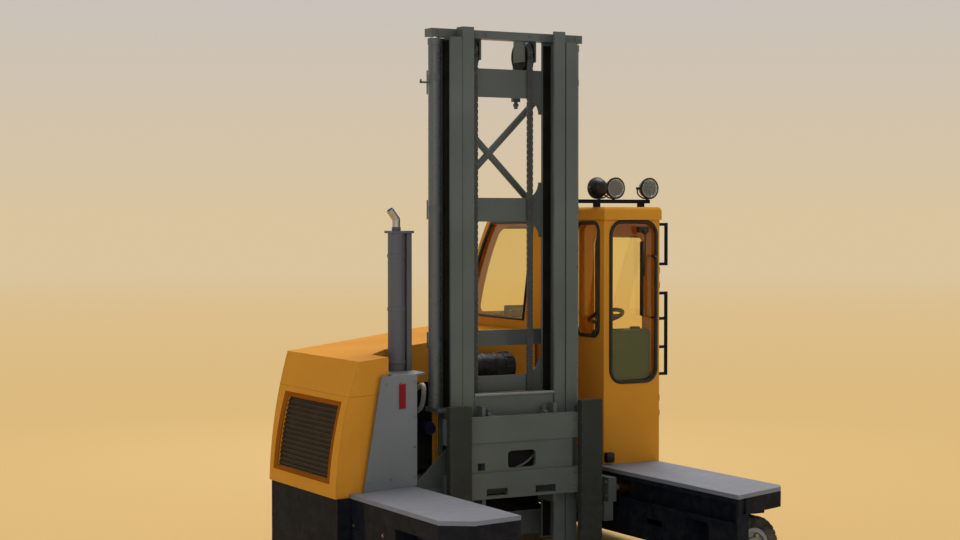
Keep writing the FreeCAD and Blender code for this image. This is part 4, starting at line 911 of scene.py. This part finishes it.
bend_x, pipe_x, pipe_y, pipe_radius = 0.482, 0.474, 0.062, 0.007
clamp_radius, clamp_half = 0.0425, 0.018
anchor_y = 0.207
work = bmesh.new()
for side in (-1, 1):
    put_tube(work, eased([(side * 0.494, 0.034, 1.03), (side * bend_x, 0.054, 1.05),
                          (side * pipe_x, pipe_y, 1.12), (side * pipe_x, pipe_y, 2.0),
                          (side * pipe_x, pipe_y, 3.17), (side * bend_x, 0.052, 3.215),
                          (side * 0.494, 0.034, 3.235)]), pipe_radius)
    low_x, high_x = span(side, 0.463, 0.495)
    for z in (1.4, 2.24, 3.05):
        put_turned(work, [(-clamp_half, clamp_radius), (clamp_half, clamp_radius)],
                   (side * cylinder_x, 0.0, z), (0, 0, 1), 32)
        put_block(work, (low_x, 0.03, z - clamp_half), (high_x, 0.074, z + clamp_half), 0.004)
    put_turned(work, [(0, 0.012), (0.05, 0.012)], (side * chain_x, anchor_y, 2.885), (0, 0, 1), 16)
    put_turned(work, [(0, 0.02), (0.018, 0.02)], (side * chain_x, anchor_y, 2.9), (0, 0, 1), 6)
put_block(work, (-0.6, -0.008, 3.012), (-0.536, 0.008, 3.024), 0.002)
put_block(work, (-0.6, -0.008, 3.012), (-0.592, 0.008, 3.036), 0.002)
piece("mast_pipes_and_clamps", work, mast_enamel, "reach", finish="mast_paint")
work = bmesh.new()
for x in (-0.215, 0.19):
    put_block(work, (x - 0.013, -0.193, 0.956), (x + 0.013, -0.176, 0.975), 0.003)
for side in (-1, 1):
    put_turned(work, [(0, 0.02), (0.012, 0.02), (0.016, 0.012), (0.03, 0.012), (0.034, 0.016), (0.04, 0.016)],
               (side * chain_x, -0.148, 0.958), (0, 0, 1), 20)
piece("carriage_stops", work, mast_enamel, "carriage", finish="mast_paint")
work = bmesh.new()
put_tube(work, [(-0.285, -0.123, 1.082), (0.285, -0.123, 1.082)], 0.009, 16)
piece("shelf_edge_bar", work, rim_enamel, "carriage", finish="mast_paint")
for side, body in ((-1, "fork_l"), (1, "fork_r")):
    work = bmesh.new()
    put_turned(work, [(0, 0.013), (0.02, 0.013), (0.022, 0.02), (0.032, 0.02), (0.035, 0.015)],
               (side * 0.47, -0.217, 0.998), (0, 0, 1), 20)
    piece("fork_pin_" + body, work, zinc, body)

# Fork shift valve: a dark cast block bolted behind the carriage's middle plate, with a hose at
# either side, seen through the plate's window.
work = bmesh.new()
put_block(work, (-0.155, -0.172, 0.6), (0.145, -0.12, 0.77), 0.006)
for x in (-0.145, 0.12):
    put_block(work, (x, -0.1995, 0.61), (x + 0.015, -0.171, 0.76), 0.002)
for x in (-0.09, -0.03, 0.03, 0.09):
    put_turned(work, [(0, 0.014), (0.03, 0.014), (0.034, 0.01)], (x, -0.146, 0.77), (0, 0, 1), 16)
for side in (-1, 1):
    put_tube(work, eased([(side * 0.15, -0.172, 0.65), (side * 0.19, -0.172, 0.652),
                          (side * 0.215, -0.165, 0.7), (side * 0.215, -0.165, 0.86),
                          (side * 0.24, -0.165, 0.905)]), 0.009)
valve_paint = moulded("matt_black_valve_paint", "0D0D0D", 0.8, 2.0, dust=0.0)
piece("fork_shift_valve", work, valve_paint, "carriage")
work = bmesh.new()
put_tube(work, eased([(-0.02, -0.176, 0.625), (0.03, -0.182, 0.645), (0.075, -0.182, 0.672),
                      (0.11, -0.176, 0.7)]), 0.007)
piece("valve_pipe", work, barrel_enamel, "carriage")

# Painted shade: a thin black film, a fraction of a millimetre thick, in the mast's outer recesses
# stands in for the shade there, and the like film on the roller tracks is old grease and painted shade.
film_low, film_high = 0.14, 3.28
grease_and_painted_shade = moulded("black_grease_and_painted_shade", "0B0B0A", 0.55, 3.0, dust=0.05)
# Painted shade: a black sheet in each outer recess of the fixed uprights.
work = bmesh.new()
for side in (-1, 1):
    low_x, high_x = span(side, 0.4301, 0.4309)
    put_block(work, (low_x, -0.1095, film_low), (high_x, 0.0245, film_high))
piece("recess_painted_shade", work, grease_and_painted_shade, "reach")
# Old grease and painted shade: a black film on each roller track of the inner uprights.
work = bmesh.new()
for side in (-1, 1):
    low_x, high_x = span(side, 0.2915, 0.3495)
    put_block(work, (low_x, 0.0197, film_low), (high_x, 0.01999, film_high))
piece("track_grease_and_painted_shade", work, grease_and_painted_shade, "inner_mast")

# Air cleaner: a moulded black canister with two clamp bands, a stepped end cover and ribs that
# stiffen the cover's wall.
filter_y, filter_z, rib_reach = 0.399, 1.212, 0.09
cover_ribs = 8
work = bmesh.new()
put_turned(work, [(0.0, 0.089), (0.012, 0.091), (0.03, 0.091), (0.034, 0.088)], (0.03, filter_y, filter_z),
           (1, 0, 0), 40)
put_turned(work, [(0.0, 0.089), (0.01, 0.092), (0.018, 0.092), (0.024, 0.088)], (0.12, filter_y, filter_z),
           (1, 0, 0), 40)
put_turned(work, [(0, 0.086), (0.008, 0.082), (0.012, 0.06), (0.012, 0.03), (0.02, 0.026), (0.022, 0.01)],
           (0.26, filter_y, filter_z), (1, 0, 0), 40)
for k in range(cover_ribs):
    angle = math.radians(360 / cover_ribs * k)
    y = filter_y + rib_reach * math.cos(angle)
    z = filter_z + rib_reach * math.sin(angle)
    put_tube(work, [(0.2, y, z), (0.25, y, z)], 0.005, 8)
piece("air_cleaner_cover", work, black_plastic, "chassis", finish="filter_plastic")

# Engine bay fittings: a pale coolant pipe, two dark blue oil filters, a valve block and black
# hydraulic pipes, all on the engine block's side and seen through the gap beside the mast.
bay_y = 0.612
pale_pipe = moulded("pale_silicone_pipe", "C9C6BC", 0.5, 2.0, dust=0.25)
work = bmesh.new()
put_tube(work, eased([(-0.455, bay_y, 1.05), (-0.455, 0.45, 1.06), (-0.455, 0.33, 1.1), (-0.45, 0.265, 1.125),
                      (-0.455, 0.235, 1.09), (-0.465, 0.23, 1.02), (-0.47, 0.26, 0.975), (-0.465, 0.36, 0.95),
                      (-0.465, bay_y, 0.94)]), 0.016)
piece("coolant_pipe", work, pale_pipe, "chassis")
blue_paint = moulded("dark_blue_filter_enamel", "1C2650", 0.35, 2.0, dust=0.1)
work = bmesh.new()
put_turned(work, [(0, 0.05), (0.012, 0.052), (0.02, 0.046), (0.13, 0.046), (0.145, 0.04), (0.15, 0.02)],
           (-0.29, 0.61, 0.82), (0, -1, 0), 36)
put_turned(work, [(0, 0.04), (0.012, 0.042), (0.02, 0.036), (0.1, 0.036), (0.112, 0.03), (0.115, 0.015)],
           (-0.17, 0.61, 0.9), (0, -1, 0), 36)
piece("oil_filters", work, blue_paint, "chassis")
work = bmesh.new()
put_tube(work, eased([(-0.38, bay_y, 0.74), (-0.39, 0.5, 0.73), (-0.42, 0.43, 0.69), (-0.44, 0.43, 0.63),
                      (-0.44, 0.5, 0.59), (-0.44, bay_y, 0.57)]), 0.013)
put_tube(work, eased([(-0.1, bay_y, 0.78), (-0.12, 0.52, 0.77), (-0.16, 0.47, 0.72), (-0.2, 0.47, 0.65),
                      (-0.22, 0.53, 0.6), (-0.22, bay_y, 0.58)]), 0.013)
put_tube(work, eased([(-0.6, bay_y, 0.88), (-0.6, 0.5, 0.87), (-0.59, 0.42, 0.82), (-0.58, 0.4, 0.72),
                      (-0.58, 0.46, 0.64), (-0.57, bay_y, 0.6)]), 0.015)
put_block(work, (-0.45, 0.59, 0.94), (-0.1, bay_y, 1.06), 0.008)
piece("hydraulic_pipes", work, black_plastic, "chassis", finish="filter_plastic")

# Exhaust fittings: three rolled seams round the muffler, a collar under its tip, and three small
# lugs that carry the heat shield.
muffler_x, muffler_y, muffler_radius = -0.71, 0.11, 0.0545
work = bmesh.new()
for z in (1.29, 1.62, 1.95):
    put_turned(work, [(-0.012, muffler_radius), (-0.008, 0.0565), (0.008, 0.0565), (0.012, muffler_radius)],
               (muffler_x, muffler_y, z), (0, 0, 1), 40)
put_turned(work, [(0, 0.028), (0.02, 0.028), (0.024, 0.026)], (muffler_x, muffler_y, 2.104), (0, 0, 1), 32)
for z in (1.3, 1.62, 1.95):
    put_block(work, (-0.655, 0.1, z - 0.01), (-0.648, 0.12, z + 0.01), 0.001)
piece("muffler_clamps", work, heat_paint, "chassis", finish="exhaust_steel")

# Grille surround: a folded strip of sheet steel in orange-brown enamel, fixed round the cooler's
# opening. It follows the curve of the cover's end.
nose_foot_x, nose_foot_z = -1.32, 0.535
nose_top_x, nose_top_z = -1.155, 1.335
nose_bulge = 0.035


def nose_at(z):
    """The x of the engine cover's curved end at height z."""
    t = (z - nose_foot_z) / (nose_top_z - nose_foot_z)
    return nose_foot_x + (nose_top_x - nose_foot_x) * t - 4 * nose_bulge * t * (1 - t)


strip_proud, strip_sunk = 0.003, 0.002
surround_enamel = painted_steel("orange_brown_trim_enamel", "9A5516", "7A5A2C", roughness=0.45, dust=0.05,
                                gloss=0.0)
opening_front, opening_back, opening_low, opening_high = -0.19, 0.56, 0.64, 1.07
strip_width, strip_back_width = 0.026, 0.06
strip_steps = 8
work = bmesh.new()
for y0, y1 in ((opening_front - strip_width, opening_front), (opening_back, opening_back + strip_back_width)):
    sections = []
    for k in range(strip_steps + 1):
        z = opening_low - strip_width + (opening_high - opening_low + 2 * strip_width) * k / strip_steps
        outer, inner = nose_at(z) - strip_proud, nose_at(z) + strip_sunk
        sections.append([(outer, y0, z), (outer, y1, z), (inner, y1, z), (inner, y0, z)])
    put_loft(work, sections)
for z0, z1 in ((opening_low - strip_width, opening_low), (opening_high, opening_high + strip_width)):
    x0, x1 = nose_at(z0), nose_at(z1)
    put_loft(work, [[(x0 - strip_proud, y, z0), (x1 - strip_proud, y, z1), (x1 + strip_sunk, y, z1),
                     (x0 + strip_sunk, y, z0)] for y in (opening_front, opening_back)])
piece("grille_surround", work, surround_enamel, "chassis")

# Hood handle: a bent steel grip with a black plastic coat, fixed upright on the lid's end at the
# cab side.
work = bmesh.new()
put_tube(work, eased([(0.521, 0.9, 1.22), (0.524, 0.9, 1.25), (0.524, 0.9, 1.3), (0.521, 0.9, 1.33)]), 0.006)
piece("hood_pull", work, black_satin, "hood")

# Driver's place: a seat with a sprung base, its cushion and back of woven cloth over foam with
# sewn channels, plastic side shells and two armrests.
# The real threads are under a millimetre apart, and are drawn coarser so that they show.
thread_mm = 2.856
seat_cloth, tree = new_material("grey_green_woven_seat_cloth")
place = add(tree, "ShaderNodeTexCoord").outputs["Object"]
weave_a = add(tree, "ShaderNodeTexWave", {"Vector": place, "Scale": wave_mm / thread_mm},
              bands_direction="X")
weave_b = add(tree, "ShaderNodeTexWave", {"Vector": place, "Scale": wave_mm / thread_mm},
              bands_direction="Z")
weave = add(tree, "ShaderNodeMath", {0: weave_a.outputs["Fac"], 1: weave_b.outputs["Fac"]},
            operation="MULTIPLY")
tone = add(tree, "ShaderNodeMix", {"Factor": weave.outputs[0], "A": colour("2B332F")[:3],
                                   "B": colour("4C5851")[:3]}, data_type="VECTOR")
bump = add(tree, "ShaderNodeBump", {"Height": weave.outputs[0], "Strength": 0.3, "Distance": 0.0012})
surface = add(tree, "ShaderNodeBsdfPrincipled", {"Base Color": tone.outputs[1], "Roughness": 0.85,
                                                 "Normal": bump.outputs[0], "Sheen Weight": 0.3})
add(tree, "ShaderNodeOutputMaterial", {"Surface": surface.outputs[0]})


seam_half = 0.006
held_depth = 0.012
pad_cell = 0.0065
cloth_frames = 20
largest_swell = 0.014


def cushion(name, low, high, channels, upright):
    """A foam pad in sewn cloth: inflated by a cloth run, held at its seams and its underside."""
    work = bmesh.new()
    put_block(work, low, high, 0.03)
    shape = bpy.data.meshes.new(name)
    bmesh.ops.recalc_face_normals(work, faces=work.faces)
    work.to_mesh(shape)
    work.free()
    pad = bpy.data.objects.new(name, shape)
    bpy.context.scene.collection.objects.link(pad)
    even = pad.modifiers.new("even", "REMESH")
    even.mode = "VOXEL"
    even.voxel_size = pad_cell
    shape = bpy.data.meshes.new_from_object(pad.evaluated_get(bpy.context.evaluated_depsgraph_get()))
    pad.modifiers.clear()
    pad.data = shape
    held = pad.vertex_groups.new(name="held")
    start = [vert.co.copy() for vert in shape.vertices]
    for i, co in enumerate(start):
        across = co.z if upright else co.y
        on_seam = any(abs(across - seam) < seam_half for seam in channels)
        under = co.y > high[1] - held_depth if upright else co.z < low[2] + held_depth
        if on_seam or under:
            held.add([i], 1.0, "REPLACE")
    cloth = pad.modifiers.new("foam", "CLOTH")
    cloth.settings.use_pressure = True
    cloth.settings.uniform_pressure_force = 4.0
    cloth.settings.vertex_group_mass = "held"
    cloth.settings.effector_weights.gravity = 0.0
    cloth.settings.quality = 4
    cloth.point_cache.frame_start = 1
    cloth.point_cache.frame_end = cloth_frames
    for frame_now in range(1, cloth_frames + 1):
        bpy.context.scene.frame_set(frame_now)
    posed = pad.evaluated_get(bpy.context.evaluated_depsgraph_get())
    ends = [vert.co.copy() for vert in posed.data.vertices]
    pad.modifiers.clear()
    bpy.context.scene.frame_set(1)
    for vert, begin, end in zip(shape.vertices, start, ends):
        move = end - begin
        if move.length > largest_swell:
            move *= largest_swell / move.length
        vert.co = begin + move
    finer = pad.modifiers.new("finer", "SUBSURF")
    finer.levels = 1
    finer.render_levels = 1
    shape = bpy.data.meshes.new_from_object(pad.evaluated_get(bpy.context.evaluated_depsgraph_get()))
    bpy.data.objects.remove(pad)
    made = show(name, shape, seat_cloth, "chassis", smooth=60)
    return made


seat = cushion("seat_cushion", (0.78, 0.9, 0.985), (1.14, 1.29, 1.075), (1.0, 1.1, 1.2), False)
cushion("seat_back", (0.78, 1.262, 1.09), (1.14, 1.335, 1.54), (1.2, 1.3, 1.4), True)
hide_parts("driver_seat")
work = bmesh.new()
put_block(work, (0.765, 0.885, 0.9605), (1.155, 1.31, 0.988), 0.012)
put_block(work, (0.765, 1.33, 1.0), (1.155, 1.35, 1.56), 0.008)
for x in (0.768, 1.116):
    put_block(work, (x, 1.0, 1.2), (x + 0.036, 1.3, 1.235), 0.012)
    put_block(work, (x + 0.008, 1.26, 1.0), (x + 0.028, 1.31, 1.21), 0.006)
piece("seat_shell", work, black_plastic, "chassis", finish="seat_cloth")

# Console fittings: three levers with turned knobs, a round gauge and four switches in black
# plastic, and two pedals on bent arms that stand on the floor.
console_top = 1.44
work = bmesh.new()
for x in (0.90, 0.935, 0.97):
    put_tube(work, [(x, 0.27, console_top), (x, 0.262, 1.53)], 0.005)
    put_turned(work, [(0, 0.008), (0.008, 0.014), (0.022, 0.014), (0.03, 0.006)], (x, 0.262, 1.525),
               (0, -0.08, 1), 16)
for k in range(4):
    put_block(work, (0.89 + 0.03 * k, 0.17, 1.4395), (0.91 + 0.03 * k, 0.2, 1.446), 0.002)
put_turned(work, [(0, 0.035), (0.012, 0.035), (0.015, 0.03)], (1.13, 0.22, console_top), (0, 0, 1), 28)
for x in (0.93, 1.1):
    put_block(work, (x, 0.4, 0.62), (x + 0.07, 0.42, 0.72), 0.004)
    put_tube(work, [(x + 0.035, 0.41, 0.66), (x + 0.035, 0.36, 0.62), (x + 0.035, 0.319, 0.6)], 0.008)
piece("console_controls_and_pedals", work, black_plastic, "chassis", finish="filter_plastic")

# Rear fittings: two red acrylic tail lamps in rubber rings, and a turned fuel cap between them,
# all on the rear skirt.
tail_lamp_x, tail_z = (0.36, 1.14), 0.36
work = bmesh.new()
for x in tail_lamp_x:
    put_turned(work, [(0, 0.048), (0.02, 0.048), (0.026, 0.04), (0.026, 0.036), (0.012, 0.036)],
               (x, skirt_y, tail_z), (0, 1, 0), 32)
put_turned(work, [(0, 0.045), (0.015, 0.045), (0.018, 0.04), (0.018, 0.02), (0.03, 0.018), (0.032, 0.01)],
           (0.75, skirt_y, tail_z), (0, 1, 0), 32)
piece("tail_lamp_rings_and_cap", work, black_satin, "chassis")
work = bmesh.new()
for x in tail_lamp_x:
    put_turned(work, [(0, 0.0355), (0.02, 0.0355), (0.028, 0.03), (0.032, 0.012)],
               (x, skirt_y + 0.001, tail_z), (0, 1, 0), 32)
piece("tail_lamp_lenses", work, red_acrylic, "chassis", finish="reflector_red")
